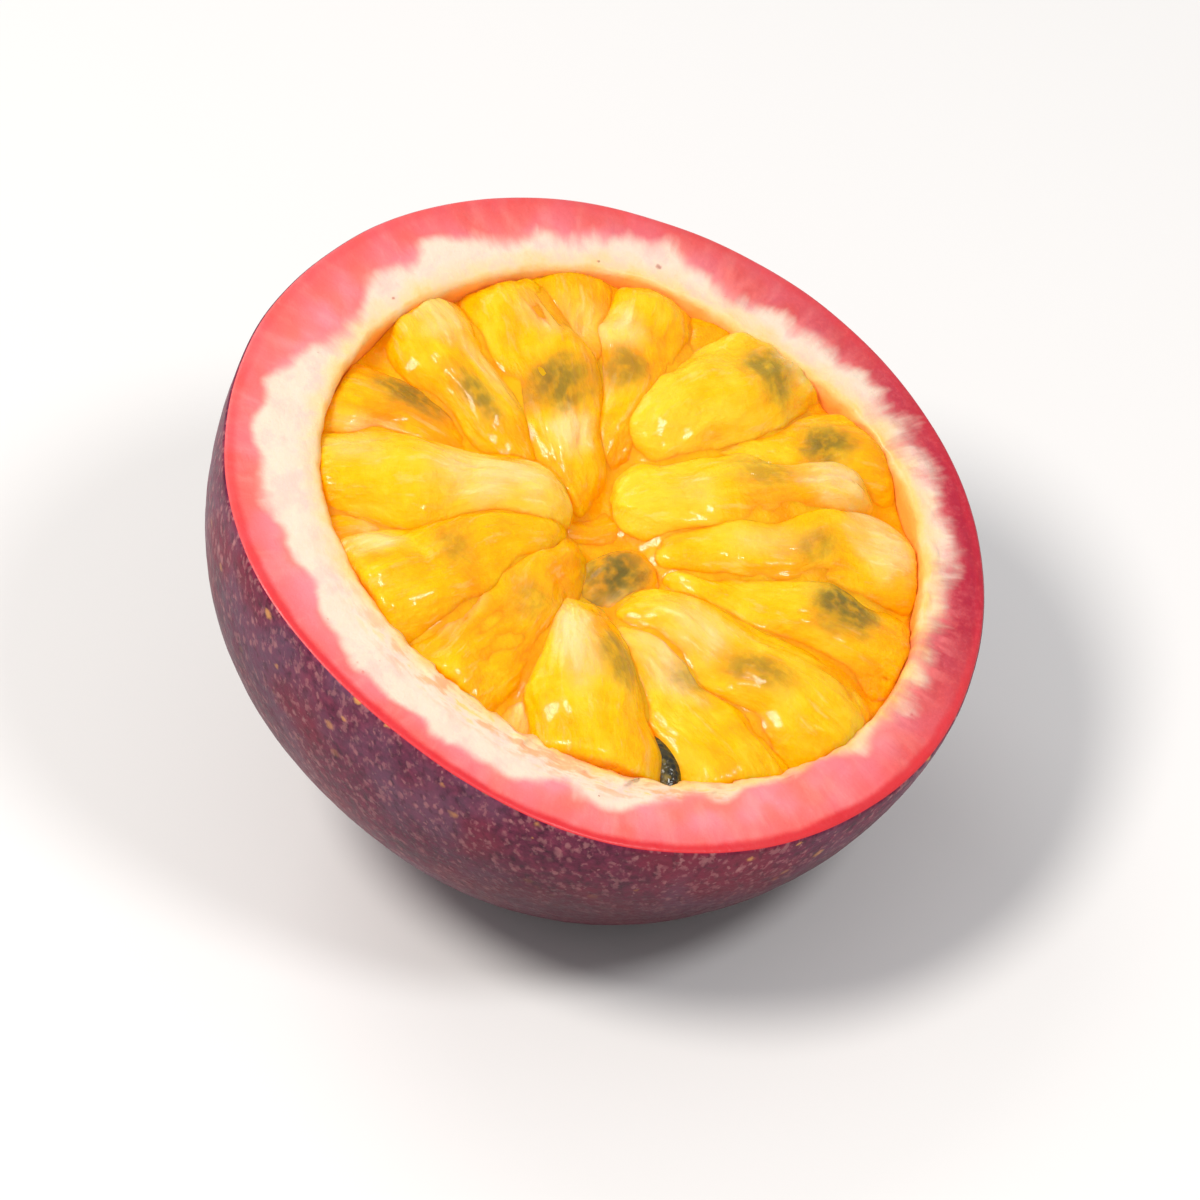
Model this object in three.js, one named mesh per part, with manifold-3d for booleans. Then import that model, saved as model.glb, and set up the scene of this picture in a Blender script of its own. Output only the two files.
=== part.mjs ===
// Half of a purple passion fruit, cut across its middle and resting on its rounded back.
// Millimetres, +Z up, z = 0 at the surface it rests on.
//
// Everything is modelled in the frame of the cut face and the whole group is then leaned: there the cut
// face is the plane z = 0, the stalk end is straight down -z, and places are polar, an angle counted from
// +X and a radius. The rind is one bowl. In it lies the pulp: juice sacs that point from the wall to the
// middle, each with a seed in a pocket, on a bed that stands for the sacs below.
import * as THREE from "three";
import { mergeVertices } from "three/addons/utils/BufferGeometryUtils.js";
import Module from "manifold-3d";

const wasm = await Module();
wasm.setup();

const { degToRad } = THREE.MathUtils;

// The outer skin.
const RIM_RADIUS = 28;
const HALF_DEPTH = 28.5;
const SKIN_FULLNESS = 2.06; // exponent of the skin's outline, 2 being an ellipse
const FLATTENED_SIDE = { angle: 177, spread: 30, depth: 1.5 };
const RIM_ROUNDING = 0.35;

// The stalk end, at the bottom of the half: a scar of the stalk in a shallow dimple.
const DIMPLE = { depth: 0.9, radius: 2.9 };
const STALK_SCAR = { radius: 1.3, height: 0.45 };

// The cavity that holds the pulp.
const CAVITY_RADIUS = 21.8;
const CAVITY_DEPTH = 22;
const CAVITY_FULLNESS = 2.5;
const CAVITY_SHIFT = { angle: 300, by: 1.3 }; // the cavity lies a little off the skin's axis
const CAVITY_LIP = 0.5;

// How it rests.
const FACE_LEAN = degToRad(21);
const FLAT_SPOT_SAG = 1.2;

// The pulp.
const GAP = 0.3;
const SAC_FULLNESS = 3;
const SAC_FLATTENING = 0.84; // a sac's height over its width
const CONTACT_MARGIN = 0.09; // share of a sac's size that is left free between two sacs
const SEED = { length: 4.8, width: 3.1, thickness: 1.9 };
const SEED_LIFT = 0.24; // how far a seed lies above its sac's middle, as a share of the sac's half height
const POCKET_NECK_RADIUS = 0.45;
const BED_TOP = -3;
const HOLLOW_MARGIN = 0.75; // how much wider than a sac its hollow in the bed is, facets counted

// Facet counts.
const SKIN_SIDES = 60;
const SKIN_STEPS = 15;
const CAVITY_STEPS = 8;
const SAC_FACETS = [12, 9];
const HOLLOW_FACETS = [8, 6];
const SEED_FACETS = [8, 6];

const COLOURS = {
  rind: { color: 0x5b2038, roughness: 0.4, metalness: 0 },
  sac: { color: 0xf7a80c, roughness: 0.25, metalness: 0 },
  seed: { color: 0x1d1a10, roughness: 0.35, metalness: 0 },
  bed: { color: 0xe07d08, roughness: 0.3, metalness: 0 },
};

// The juice sacs that show. root is the fat end at the wall and tip the end by the middle, each as
// [angle, radius]; width is the sac's at [tip, root]; crest is its top's height over the cut face at
// [tip, root]; seed is where its seed lies, from 0 at the tip to 1 at the root.
const SACS = [
  { root: [122, 19.8], tip: [92, 4.4], width: [5.8, 8.0], crest: [0.4, -0.3], seed: 0.6 },
  { root: [103, 20.2], tip: [90, 10.4], width: [5.4, 9.6], crest: [-2.4, -1.6], seed: 0.5 },
  { root: [73, 20.8], tip: [79, 8.0], width: [4.4, 7.4], crest: [-1.4, -0.8], seed: 0.4 },
  { root: [53, 19.6], tip: [58, 3.8], width: [5.2, 8.2], crest: [-0.7, -0.5], seed: 0.42 },
  { root: [38, 21.4], tip: [41, 11.2], width: [5.6, 8.8], crest: [-2.0, -1.4], seed: 0.5 },
  { root: [23, 20.2], tip: [24, 6.4], width: [4.2, 8.4], crest: [-1.2, -0.5], seed: 0.36 },
  { root: [7, 21.2], tip: [16, 12.6], width: [5.0, 6.6], crest: [-2.6, -1.8], seed: 0.5 },
  { root: [353, 21.0], tip: [11, 9.0], width: [5.8, 8.8], crest: [0.2, 0.0], seed: 0.8 },
  { root: [331, 22.6], tip: [348, 11.2], width: [5.4, 8.8], crest: [-0.5, -0.6], seed: 0.56 },
  { root: [323, 18.2], tip: [346, 3.6], width: [5.8, 7.0], crest: [0.2, 0.5], seed: 0.62 },
  { root: [309, 21.4], tip: [300, 5.2], width: [5.4, 8.6], crest: [-0.5, -0.1], seed: 0.56 },
  { root: [289, 21.6], tip: [279, 7.0], width: [4.2, 8.8], crest: [-0.9, -0.6], seed: 0.66 },
  { root: [265, 21.2], tip: [237, 7.2], width: [5.0, 10.6], crest: [-0.2, 0.3], seed: 0.5 },
  { root: [242, 21.6], tip: [227, 8.8], width: [3.8, 8.6], crest: [-0.9, -0.3], seed: 0.42 },
  { root: [214, 20.2], tip: [201, 7.6], width: [5.2, 10.0], crest: [0.1, 0.3], seed: 0.3 },
  { root: [178, 18.8], tip: [164, 3.4], width: [6.0, 9.0], crest: [-0.7, -0.3], seed: 0.44 },
  { root: [152, 19.4], tip: [137, 4.6], width: [5.2, 10.2], crest: [-0.3, 0.3], seed: 0.42 },
  { root: [136, 20.6], tip: [127, 6.6], width: [4.2, 6.4], crest: [-1.9, -1.5], seed: 0.5 },
  { root: [200, 6.8], tip: [275, 3.8], width: [5.0, 5.6], crest: [-2.2, -2.0], seed: 0.5 },
  { root: [120, 3.4], tip: [335, 3.2], width: [4.6, 4.8], crest: [-2.8, -2.4], seed: 0.5 },
  { root: [195, 20.0], tip: [199, 12.2], width: [4.8, 6.0], crest: [-2.6, -2.0], seed: 0.5 },
];

// One seed has lost its sac and lies bare between two others, at the wall.
const BARE_SEED = { at: [227, 19.3], points: 227, top: -1.0 };

/** A point of the cut face's frame from a polar place and a height. */
function polar([angle, radius], height = 0) {
  const turn = degToRad(angle);
  return new THREE.Vector3(radius * Math.cos(turn), radius * Math.sin(turn), height);
}

/** The skin's radius at the cut, all round. */
function rimRadius(turn) {
  const away = THREE.MathUtils.euclideanModulo(turn - degToRad(FLATTENED_SIDE.angle) + Math.PI, 2 * Math.PI);
  const share = (away - Math.PI) / degToRad(FLATTENED_SIDE.spread);
  return RIM_RADIUS - FLATTENED_SIDE.depth * Math.exp(-share * share);
}

/** The cavity's radius at the cut, all round. */
function cavityRadius(turn) {
  return CAVITY_RADIUS + CAVITY_SHIFT.by * Math.cos(turn - degToRad(CAVITY_SHIFT.angle));
}

/** A closed geometry as a solid of the boolean library. */
function solidOf(geometry) {
  const bare = geometry.clone();
  bare.deleteAttribute("normal");
  bare.deleteAttribute("uv");
  const merged = mergeVertices(bare, 1e-4);
  return new wasm.Manifold(
    new wasm.Mesh({
      numProp: 3,
      vertProperties: merged.attributes.position.array,
      triVerts: new Uint32Array(merged.index.array),
    }),
  );
}

/** A solid's surface as a geometry. */
function geometryOf(solid) {
  const { vertProperties, triVerts } = solid.getMesh();
  return new THREE.BufferGeometry()
    .setAttribute("position", new THREE.BufferAttribute(vertProperties, 3))
    .setIndex(new THREE.BufferAttribute(triVerts, 1));
}

/** A point on a quarter superellipse, at share 0 on its axis' end and 1 at its rim. */
function bowlPoint(radius, depth, fullness, share) {
  const turn = (share * Math.PI) / 2;
  return new THREE.Vector2(
    radius * Math.sin(turn) ** (2 / fullness),
    -depth * Math.cos(turn) ** (2 / fullness),
  );
}

/** The lathe profile of the skin, from the stalk scar's middle to the cut. */
function skinProfile() {
  const scarTop = -HALF_DEPTH + DIMPLE.depth - STALK_SCAR.height;
  const points = [
    new THREE.Vector2(0, scarTop),
    new THREE.Vector2(STALK_SCAR.radius * 0.75, scarTop),
    new THREE.Vector2(STALK_SCAR.radius, scarTop + STALK_SCAR.height * 0.5),
  ];
  for (let step = 1; step <= SKIN_STEPS; step++) {
    const point = bowlPoint(RIM_RADIUS, HALF_DEPTH, SKIN_FULLNESS, step / SKIN_STEPS);
    if (point.x < STALK_SCAR.radius * 1.2) continue;
    point.y += DIMPLE.depth * Math.exp(-((point.x / DIMPLE.radius) ** 2));
    points.push(point);
  }
  points[points.length - 1].y = -RIM_ROUNDING;
  points.push(new THREE.Vector2(RIM_RADIUS - RIM_ROUNDING, 0));
  return points;
}

/** The lathe profile of a bowl-shaped hollow, from the cut to its lowest point. */
function cavityProfile(radius, depth) {
  const points = [];
  for (let step = CAVITY_STEPS; step >= 1; step--) {
    points.push(bowlPoint(radius, depth, CAVITY_FULLNESS, step / CAVITY_STEPS));
  }
  points.push(new THREE.Vector2(0, -depth));
  return points;
}

/** A lathe about z whose points from index firstInner on follow the cavity's outline and the others the skin's. */
function bowlGeometry(profile, firstInner) {
  const geometry = new THREE.LatheGeometry(profile, SKIN_SIDES).rotateX(Math.PI / 2);
  const position = geometry.attributes.position;
  for (let i = 0; i < position.count; i++) {
    const turn = Math.atan2(position.getY(i), position.getX(i));
    const inner = i % profile.length >= firstInner;
    const scale = inner ? cavityRadius(turn) / CAVITY_RADIUS : rimRadius(turn) / RIM_RADIUS;
    position.setXY(i, position.getX(i) * scale, position.getY(i) * scale);
  }
  return geometry;
}

/** How high the middle of the cut face lies over the surface that the half rests on. */
function faceHeight() {
  const lowest = Math.hypot(RIM_RADIUS * Math.sin(FACE_LEAN), HALF_DEPTH * Math.cos(FACE_LEAN));
  return lowest - FLAT_SPOT_SAG;
}

/** All that lies below the resting surface, in the frame of the cut face. */
function belowTheSurface() {
  const size = 4 * RIM_RADIUS;
  const block = new THREE.BoxGeometry(size, size, size);
  block.translate(0, 0, -size / 2 - faceHeight());
  block.rotateX(-FACE_LEAN);
  return solidOf(block);
}

/** The rind: skin, flesh and pith in one bowl, with the flat spot it rests on. */
function rind() {
  const skin = skinProfile();
  const lip = [
    new THREE.Vector2(CAVITY_RADIUS + CAVITY_LIP, 0),
    new THREE.Vector2(CAVITY_RADIUS, -CAVITY_LIP),
  ];
  const cavity = cavityProfile(CAVITY_RADIUS, CAVITY_DEPTH).slice(1);
  const bowl = bowlGeometry([...skin, ...lip, ...cavity], skin.length);
  return geometryOf(solidOf(bowl).subtract(belowTheSurface()));
}

/** A sac's own axes, sizes and middle, worked out from its row in SACS. */
function sacForm({ root, tip, width, crest }) {
  const halfHeights = width.map((across) => (across / 2) * SAC_FLATTENING);
  const tipPoint = polar(tip, crest[0] - halfHeights[0]);
  const rootPoint = polar(root, crest[1] - halfHeights[1]);
  const along = rootPoint.clone().sub(tipPoint);
  const halfLength = along.length() / 2 + (halfHeights[0] + halfHeights[1]) / 4;
  along.normalize();
  const across = new THREE.Vector3(0, 0, 1).cross(along).normalize();
  const up = along.clone().cross(across);
  const middle = tipPoint.clone().add(rootPoint).multiplyScalar(0.5);
  return { middle, along, across, up, halfLength, halfWidths: [width[0] / 2, width[1] / 2] };
}

/** Half the sac's width at a place along it, from -1 at the tip to 1 at the root. */
function halfWidthAt(form, place) {
  const [atTip, atRoot] = form.halfWidths;
  return THREE.MathUtils.lerp(atTip, atRoot, THREE.MathUtils.clamp((place + 1) / 2, 0, 1));
}

/** The point of a sac at coordinates that are 1 on its skin, along, across and up. */
function sacPoint(form, [place, side, height]) {
  const half = halfWidthAt(form, place);
  return form.middle
    .clone()
    .addScaledVector(form.along, place * form.halfLength)
    .addScaledVector(form.across, side * half)
    .addScaledVector(form.up, height * half * SAC_FLATTENING);
}

/** How far out of a sac a point lies: 0 at its middle, 1 on its skin. */
function sacLevel(form, point) {
  const offset = point.clone().sub(form.middle);
  const place = offset.dot(form.along) / form.halfLength;
  const half = halfWidthAt(form, place);
  const round = Math.hypot(offset.dot(form.across) / half, offset.dot(form.up) / half / SAC_FLATTENING);
  return (Math.abs(place) ** SAC_FULLNESS + round ** SAC_FULLNESS) ** (1 / SAC_FULLNESS);
}

/** Whether a point lies in the cavity, clear of its wall. */
function inCavity(point) {
  const reach = Math.hypot(point.x, point.y) / (cavityRadius(Math.atan2(point.y, point.x)) - 2 * GAP);
  const drop = Math.max(0, -point.z) / (CAVITY_DEPTH - 2 * GAP);
  return reach ** CAVITY_FULLNESS + drop ** CAVITY_FULLNESS < 1;
}

/**
 * A sac's skin. Where sacs crowd each other, each stops half way to the next, so two sacs meet in a face
 * with a thin gap; a loose sac, made with no neighbours, keeps its whole shape.
 */
function sacGeometry(form, neighbours, facets = SAC_FACETS) {
  const geometry = new THREE.SphereGeometry(1, ...facets).rotateZ(Math.PI / 2);
  const position = geometry.attributes.position;
  for (let i = 0; i < position.count; i++) {
    const ray = new THREE.Vector3().fromBufferAttribute(position, i);
    const norm =
      (Math.abs(ray.x) ** SAC_FULLNESS + Math.hypot(ray.y, ray.z) ** SAC_FULLNESS) ** (1 / SAC_FULLNESS);
    const at = (level) => sacPoint(form, ray.toArray().map((value) => (value * level) / norm));
    const free = (level) => {
      const point = at(level);
      return (
        inCavity(point) && neighbours.every((other) => sacLevel(other, point) > level + CONTACT_MARGIN)
      );
    };
    position.setXYZ(i, ...at(neighbours.length ? furthest(free) : 1));
  }
  return geometry;
}

/** The highest level from 0 to 1 that is still free, found by halving. */
function furthest(free) {
  if (free(1)) return 1;
  let [low, high] = [0, 1];
  for (let halving = 0; halving < 24; halving++) {
    const middle = (low + high) / 2;
    if (free(middle)) low = middle;
    else high = middle;
  }
  return low;
}

/** A seed's geometry, grown all round by a clearance, lying along x. */
function seedGeometry(scale, clearance = 0) {
  const geometry = new THREE.SphereGeometry(1, ...SEED_FACETS).rotateZ(Math.PI / 2);
  const halves = [SEED.length, SEED.width, SEED.thickness].map((size) => (size * scale) / 2 + clearance);
  return geometry.scale(...halves);
}

/** Where a sac's seed lies and how it is turned, as a matrix, and its size against the full SEED. */
function seedPlace(form, along) {
  const place = 2 * along - 1;
  const half = halfWidthAt(form, place);
  const matrix = new THREE.Matrix4().makeBasis(form.along, form.across, form.up);
  matrix.setPosition(sacPoint(form, [place * 0.9, 0, SEED_LIFT]));
  const scale = Math.min(1, (half * SAC_FLATTENING * 0.8) / SEED.thickness, (half * 1.05) / SEED.width);
  return { matrix, scale };
}

/** The hollow of a sac round its seed, with the neck that leads out of its underside. */
function pocket({ matrix, scale }) {
  const neckLength = 6;
  const neck = new THREE.CylinderGeometry(POCKET_NECK_RADIUS, POCKET_NECK_RADIUS, neckLength, 6)
    .rotateX(Math.PI / 2)
    .translate(0, 0, -neckLength / 2);
  const hollow = solidOf(seedGeometry(scale, GAP)).add(solidOf(neck));
  return solidOf(geometryOf(hollow).applyMatrix4(matrix));
}

/** The largest body of a solid. */
function mainBody(solid) {
  return solid.decompose().reduce((best, body) => (body.volume() > best.volume() ? body : best));
}

/** The bed of pulp under the sacs: the lower part of the cavity, hollowed where sacs and seeds lie in it. */
function bed(forms, bareSeed) {
  const scale = (CAVITY_RADIUS - GAP) / CAVITY_RADIUS;
  const wall = cavityProfile(CAVITY_RADIUS, CAVITY_DEPTH - GAP).reverse();
  wall.forEach((point) => point.setX(point.x * scale));
  const profile = [...wall, new THREE.Vector2(0, 0)];
  const lid = new THREE.BoxGeometry(3 * RIM_RADIUS, 3 * RIM_RADIUS, -2 * BED_TOP);
  let solid = solidOf(bowlGeometry(profile, 0)).subtract(solidOf(lid));
  for (const form of forms) {
    const grown = { ...form, halfLength: form.halfLength + HOLLOW_MARGIN };
    grown.halfWidths = form.halfWidths.map((half) => half + HOLLOW_MARGIN);
    solid = solid.subtract(solidOf(sacGeometry(grown, [], HOLLOW_FACETS)));
  }
  return geometryOf(mainBody(solid.subtract(bareSeed)));
}

/** A named mesh in one of the finishes. */
function piece(name, geometry, finish) {
  const mesh = new THREE.Mesh(geometry, new THREE.MeshStandardMaterial({ name: finish, ...COLOURS[finish] }));
  mesh.name = name;
  return mesh;
}

/** The bare seed's place. */
function bareSeedMatrix() {
  const matrix = new THREE.Matrix4().makeRotationZ(degToRad(BARE_SEED.points));
  return matrix.setPosition(polar(BARE_SEED.at, BARE_SEED.top - SEED.thickness / 2));
}

const half = new THREE.Group();
half.add(piece("rind", rind(), "rind"));

const forms = SACS.map(sacForm);
const bareSeedHollow = seedGeometry(1, 2 * GAP).applyMatrix4(bareSeedMatrix());
forms.forEach((form, i) => {
  const label = String(i + 1).padStart(2, "0");
  const neighbours = forms.filter((other) => other !== form);
  const place = seedPlace(form, SACS[i].seed);
  const sac = solidOf(sacGeometry(form, neighbours)).subtract(pocket(place)).subtract(solidOf(bareSeedHollow));
  half.add(piece(`sac_${label}`, geometryOf(mainBody(sac)), "sac"));
  half.add(piece(`seed_${label}`, seedGeometry(place.scale).applyMatrix4(place.matrix), "seed"));
});
half.add(piece("bare_seed", seedGeometry(1).applyMatrix4(bareSeedMatrix()), "seed"));
half.add(piece("pulp_bed", bed(forms, solidOf(bareSeedHollow)), "bed"));

half.rotation.x = FACE_LEAN;
half.position.z = faceHeight();

// The origin is on the resting surface, under the middle of the object's box.
const box = new THREE.Box3().setFromObject(half, true);
const middle = box.getCenter(new THREE.Vector3());
half.position.x -= middle.x;
half.position.y -= middle.y;

const fruit = new THREE.Group();
fruit.add(half);

export default fruit;
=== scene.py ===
"""Half of a purple passion fruit, cut across its middle and resting on its rounded back.

Everything is shaped in the frame of the cut face, in millimetres: there the cut face is the plane
z = 0, the stalk end is straight down -z, and places are polar, an angle counted from +X and a radius.
A finished mesh is then leaned and brought to metres in the row's frame, where its CAD node lies.
"""

import logging
import math
from collections.abc import Callable
from dataclasses import dataclass, field
from enum import Enum

import bmesh
import bpy
import numpy as np
from mathutils import Matrix, Vector, noise

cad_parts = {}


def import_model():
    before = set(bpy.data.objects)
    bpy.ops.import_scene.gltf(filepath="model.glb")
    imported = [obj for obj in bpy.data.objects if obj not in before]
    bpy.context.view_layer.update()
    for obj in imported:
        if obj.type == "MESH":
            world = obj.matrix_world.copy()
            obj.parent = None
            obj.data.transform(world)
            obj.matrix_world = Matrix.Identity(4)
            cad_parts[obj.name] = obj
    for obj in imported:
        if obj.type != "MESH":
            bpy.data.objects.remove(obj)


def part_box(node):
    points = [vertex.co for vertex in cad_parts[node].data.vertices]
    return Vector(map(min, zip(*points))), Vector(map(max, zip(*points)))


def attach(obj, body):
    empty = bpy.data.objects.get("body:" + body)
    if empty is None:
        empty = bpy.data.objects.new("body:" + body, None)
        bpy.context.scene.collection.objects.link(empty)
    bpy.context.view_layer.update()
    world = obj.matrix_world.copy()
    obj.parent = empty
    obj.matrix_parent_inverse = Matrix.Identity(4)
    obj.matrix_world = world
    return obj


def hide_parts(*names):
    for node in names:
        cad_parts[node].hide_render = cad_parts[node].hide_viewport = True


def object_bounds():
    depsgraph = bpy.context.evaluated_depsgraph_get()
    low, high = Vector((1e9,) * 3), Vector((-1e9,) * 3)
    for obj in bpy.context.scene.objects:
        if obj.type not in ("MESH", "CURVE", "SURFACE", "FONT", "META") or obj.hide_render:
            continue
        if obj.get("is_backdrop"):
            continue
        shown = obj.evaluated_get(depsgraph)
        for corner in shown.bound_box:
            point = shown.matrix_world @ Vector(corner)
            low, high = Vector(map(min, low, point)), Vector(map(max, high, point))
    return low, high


LOG = logging.getLogger("passion_fruit_half")
MM = 0.001
BODY = "root"
NOISE_SEED = 5  # without one, vector noise is seeded by the clock

Socket = bpy.types.NodeSocket
Value = Socket | float | tuple[float, ...]


class Slot(Enum):
    """The record's material slots."""

    RIND = "rind"
    SAC = "juice_sac"
    SEED = "seed"
    PULP = "pulp"


# ---------------------------------------------------------------- places and outlines


@dataclass(frozen=True)
class CutFace:
    """Where the cut face lies in the row's frame.

    Attributes:
        centre: the middle of the skin's rim, in millimetres.
        lean: the turn about X that lowers the face's -Y side, in radians.
    """

    centre: tuple[float, float, float] = (-0.742, -1.096, 27.236)
    lean: float = math.radians(21)

    def to_row(self) -> Matrix:
        """The matrix from the face's millimetres to the row's metres."""
        turned = Matrix.Translation(self.centre) @ Matrix.Rotation(self.lean, 4, "X")
        return Matrix.Scale(MM, 4) @ turned


FACE = CutFace()


def polar(angle: float, radius: float, height: float = 0.0) -> np.ndarray:
    """A point of the face's frame.

    Args:
        angle: degrees from +X.
        radius: distance from the axis.
        height: height over the cut.

    Returns:
        The point as an array of three.
    """
    turn = math.radians(angle)
    return np.array([radius * math.cos(turn), radius * math.sin(turn), height])


def smoothstep(low: float, high: float, value: np.ndarray) -> np.ndarray:
    """0 at low, 1 at high and smooth between; low may be the larger one."""
    share = np.clip((value - low) / (high - low), 0.0, 1.0)
    return share * share * (3.0 - 2.0 * share)


def ripple(points: np.ndarray, scale: float, seed: float = 0.0, octaves: int = 3) -> np.ndarray:
    """Fractal noise at points.

    Args:
        points: one row per point, in millimetres.
        scale: waves per millimetre.
        seed: shifts the pattern.
        octaves: how many layers of detail.

    Returns:
        About -1 to 1 at each point.
    """
    shift = Vector((seed * 7.3, seed * 3.1, seed * 5.7))
    places = (Vector(point) * scale + shift for point in points)
    return np.array([noise.fractal(place, 0.9, 2.0, octaves) for place in places])


def drift(points: np.ndarray, scale: float, seed: float = 0.0) -> np.ndarray:
    """Smooth vector noise at points.

    Args:
        points: one row per point, in millimetres.
        scale: waves per millimetre.
        seed: shifts the pattern.

    Returns:
        One row of three numbers of about -1 to 1 per point.
    """
    shift = Vector((seed * 4.7, seed * 9.1, seed * 2.3))
    return np.array([noise.noise_vector(Vector(point) * scale + shift) for point in points])


@dataclass(frozen=True)
class Outline:
    """A closed curve round the axis.

    Attributes:
        radii: its radius at evenly spaced angles, the first at +X.
    """

    radii: tuple[float, ...]

    def at(self, turn: np.ndarray) -> np.ndarray:
        """The radius at each angle in radians, along a smooth curve through the radii."""
        count = len(self.radii)
        position = np.asarray(turn) / (2.0 * math.pi) * count
        index = np.floor(position).astype(int)
        share = position - index
        before, here, after, beyond = (
            np.take(self.radii, index + step, mode="wrap") for step in (-1, 0, 1, 2)
        )
        first = (after - before) * share
        second = (2 * before - 5 * here + 4 * after - beyond) * share**2
        third = (3 * here - before - 3 * after + beyond) * share**3
        return here + 0.5 * (first + second + third)


@dataclass(frozen=True)
class Bowl:
    """A quarter superellipse, turned round the axis.

    Attributes:
        radius: at the cut.
        depth: below the cut.
        fullness: its exponent, 2 being an ellipse.
    """

    radius: float
    depth: float
    fullness: float

    def point(self, share: float) -> tuple[float, float]:
        """Radius and height at a share of the way from the axis (0) to the cut (1)."""
        turn = share * math.pi / 2.0
        power = 2.0 / self.fullness
        return self.radius * math.sin(turn) ** power, -self.depth * abs(math.cos(turn)) ** power


# ---------------------------------------------------------------- meshes and pieces


def settle_order(shape: bmesh.types.BMesh) -> None:
    """Puts vertices and faces in the order of their places; merging leaves a new order on every run."""
    vertices = sorted(shape.verts, key=lambda vertex: tuple(vertex.co))
    faces = sorted(shape.faces, key=lambda face: tuple(face.calc_center_median()))
    for elements in (vertices, faces):
        for rank, element in enumerate(elements):
            element.index = rank
    shape.verts.sort()
    shape.faces.sort()


def spun(profile: list[tuple[float, float, float]], layer: str, sides: int) -> bpy.types.Mesh:
    """A closed mesh from an outline that starts and ends on the axis.

    Args:
        profile: radius, height and the layer's value at each point.
        layer: the name of the vertex attribute that keeps the third value.
        sides: steps in the full turn.

    Returns:
        The mesh, facing outwards.
    """
    shape = bmesh.new()
    values = shape.verts.layers.float.new(layer)
    line = []
    for radius, height, value in profile:
        corner = shape.verts.new((radius, 0.0, height))
        corner[values] = value
        line.append(corner)
    edges = [shape.edges.new(pair) for pair in zip(line, line[1:])]
    bmesh.ops.spin(
        shape,
        geom=line + edges,
        cent=(0, 0, 0),
        axis=(0, 0, 1),
        angle=2 * math.pi,
        steps=sides,
        use_merge=True,
    )
    bmesh.ops.remove_doubles(shape, verts=shape.verts, dist=1e-4)
    bmesh.ops.recalc_face_normals(shape, faces=shape.faces)
    settle_order(shape)
    mesh = bpy.data.meshes.new("spun")
    shape.to_mesh(mesh)
    shape.free()
    return mesh


def ball(subdivisions: int) -> bpy.types.Mesh:
    """A round mesh of radius 1 that others are shaped from."""
    shape = bmesh.new()
    bmesh.ops.create_icosphere(shape, subdivisions=subdivisions, radius=1.0)
    mesh = bpy.data.meshes.new("ball")
    shape.to_mesh(mesh)
    shape.free()
    return mesh


def corners(mesh: bpy.types.Mesh) -> np.ndarray:
    """The mesh's vertices, one row each."""
    found = np.empty(len(mesh.vertices) * 3, np.float32)
    mesh.vertices.foreach_get("co", found)
    return found.reshape(-1, 3).astype(float)


def move_corners(mesh: bpy.types.Mesh, places: np.ndarray) -> None:
    """Puts the mesh's vertices at these places."""
    mesh.vertices.foreach_set("co", places.astype(np.float32).ravel())
    mesh.update()


def soften(mesh: bpy.types.Mesh, rounds: int, factor: float = 0.5) -> None:
    """Evens a mesh's surface out.

    Args:
        mesh: the mesh.
        rounds: how often each vertex moves towards its neighbours.
        factor: how far it moves each time.
    """
    shape = bmesh.new()
    shape.from_mesh(mesh)
    for _ in range(rounds):
        bmesh.ops.smooth_vert(
            shape, verts=shape.verts, factor=factor, use_axis_x=True, use_axis_y=True, use_axis_z=True
        )
    shape.to_mesh(mesh)
    shape.free()


def normals(mesh: bpy.types.Mesh) -> np.ndarray:
    """The mesh's vertex normals, one row each."""
    return np.array([corner.vector for corner in mesh.vertex_normals], float).reshape(-1, 3)


def keep(mesh: bpy.types.Mesh, name: str, values: np.ndarray) -> None:
    """Stores three numbers per vertex for a material to read."""
    layer = mesh.attributes.new(name, "FLOAT_VECTOR", "POINT")
    layer.data.foreach_set("vector", values.astype(np.float32).ravel())


def finish_piece(
    name: str, mesh: bpy.types.Mesh, materials: list[bpy.types.Material], nodes: list[str]
) -> bpy.types.Object:
    """Makes a shaped mesh a piece of the object.

    Args:
        name: the piece's name.
        mesh: its mesh, in the face's frame.
        materials: its materials, in the order of its faces' numbers.
        nodes: the CAD nodes that it stands for.

    Returns:
        The piece, riding on the object's body.
    """
    mesh.name = name
    mesh.transform(FACE.to_row())
    mesh.shade_smooth()
    for material in materials:
        mesh.materials.append(material)
    piece = bpy.data.objects.new(name, mesh)
    bpy.context.scene.collection.objects.link(piece)
    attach(piece, BODY)
    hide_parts(*nodes)
    LOG.info("%s: %d faces", name, len(mesh.polygons))
    return piece


# ---------------------------------------------------------------- material graphs


def colour(code: str) -> tuple[float, float, float, float]:
    """A colour written as six hexadecimal digits, in the renderer's linear values."""
    parts = (int(code[start : start + 2], 16) / 255.0 for start in (0, 2, 4))
    linear = (part / 12.92 if part <= 0.04045 else ((part + 0.055) / 1.055) ** 2.4 for part in parts)
    return (*linear, 1.0)


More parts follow.
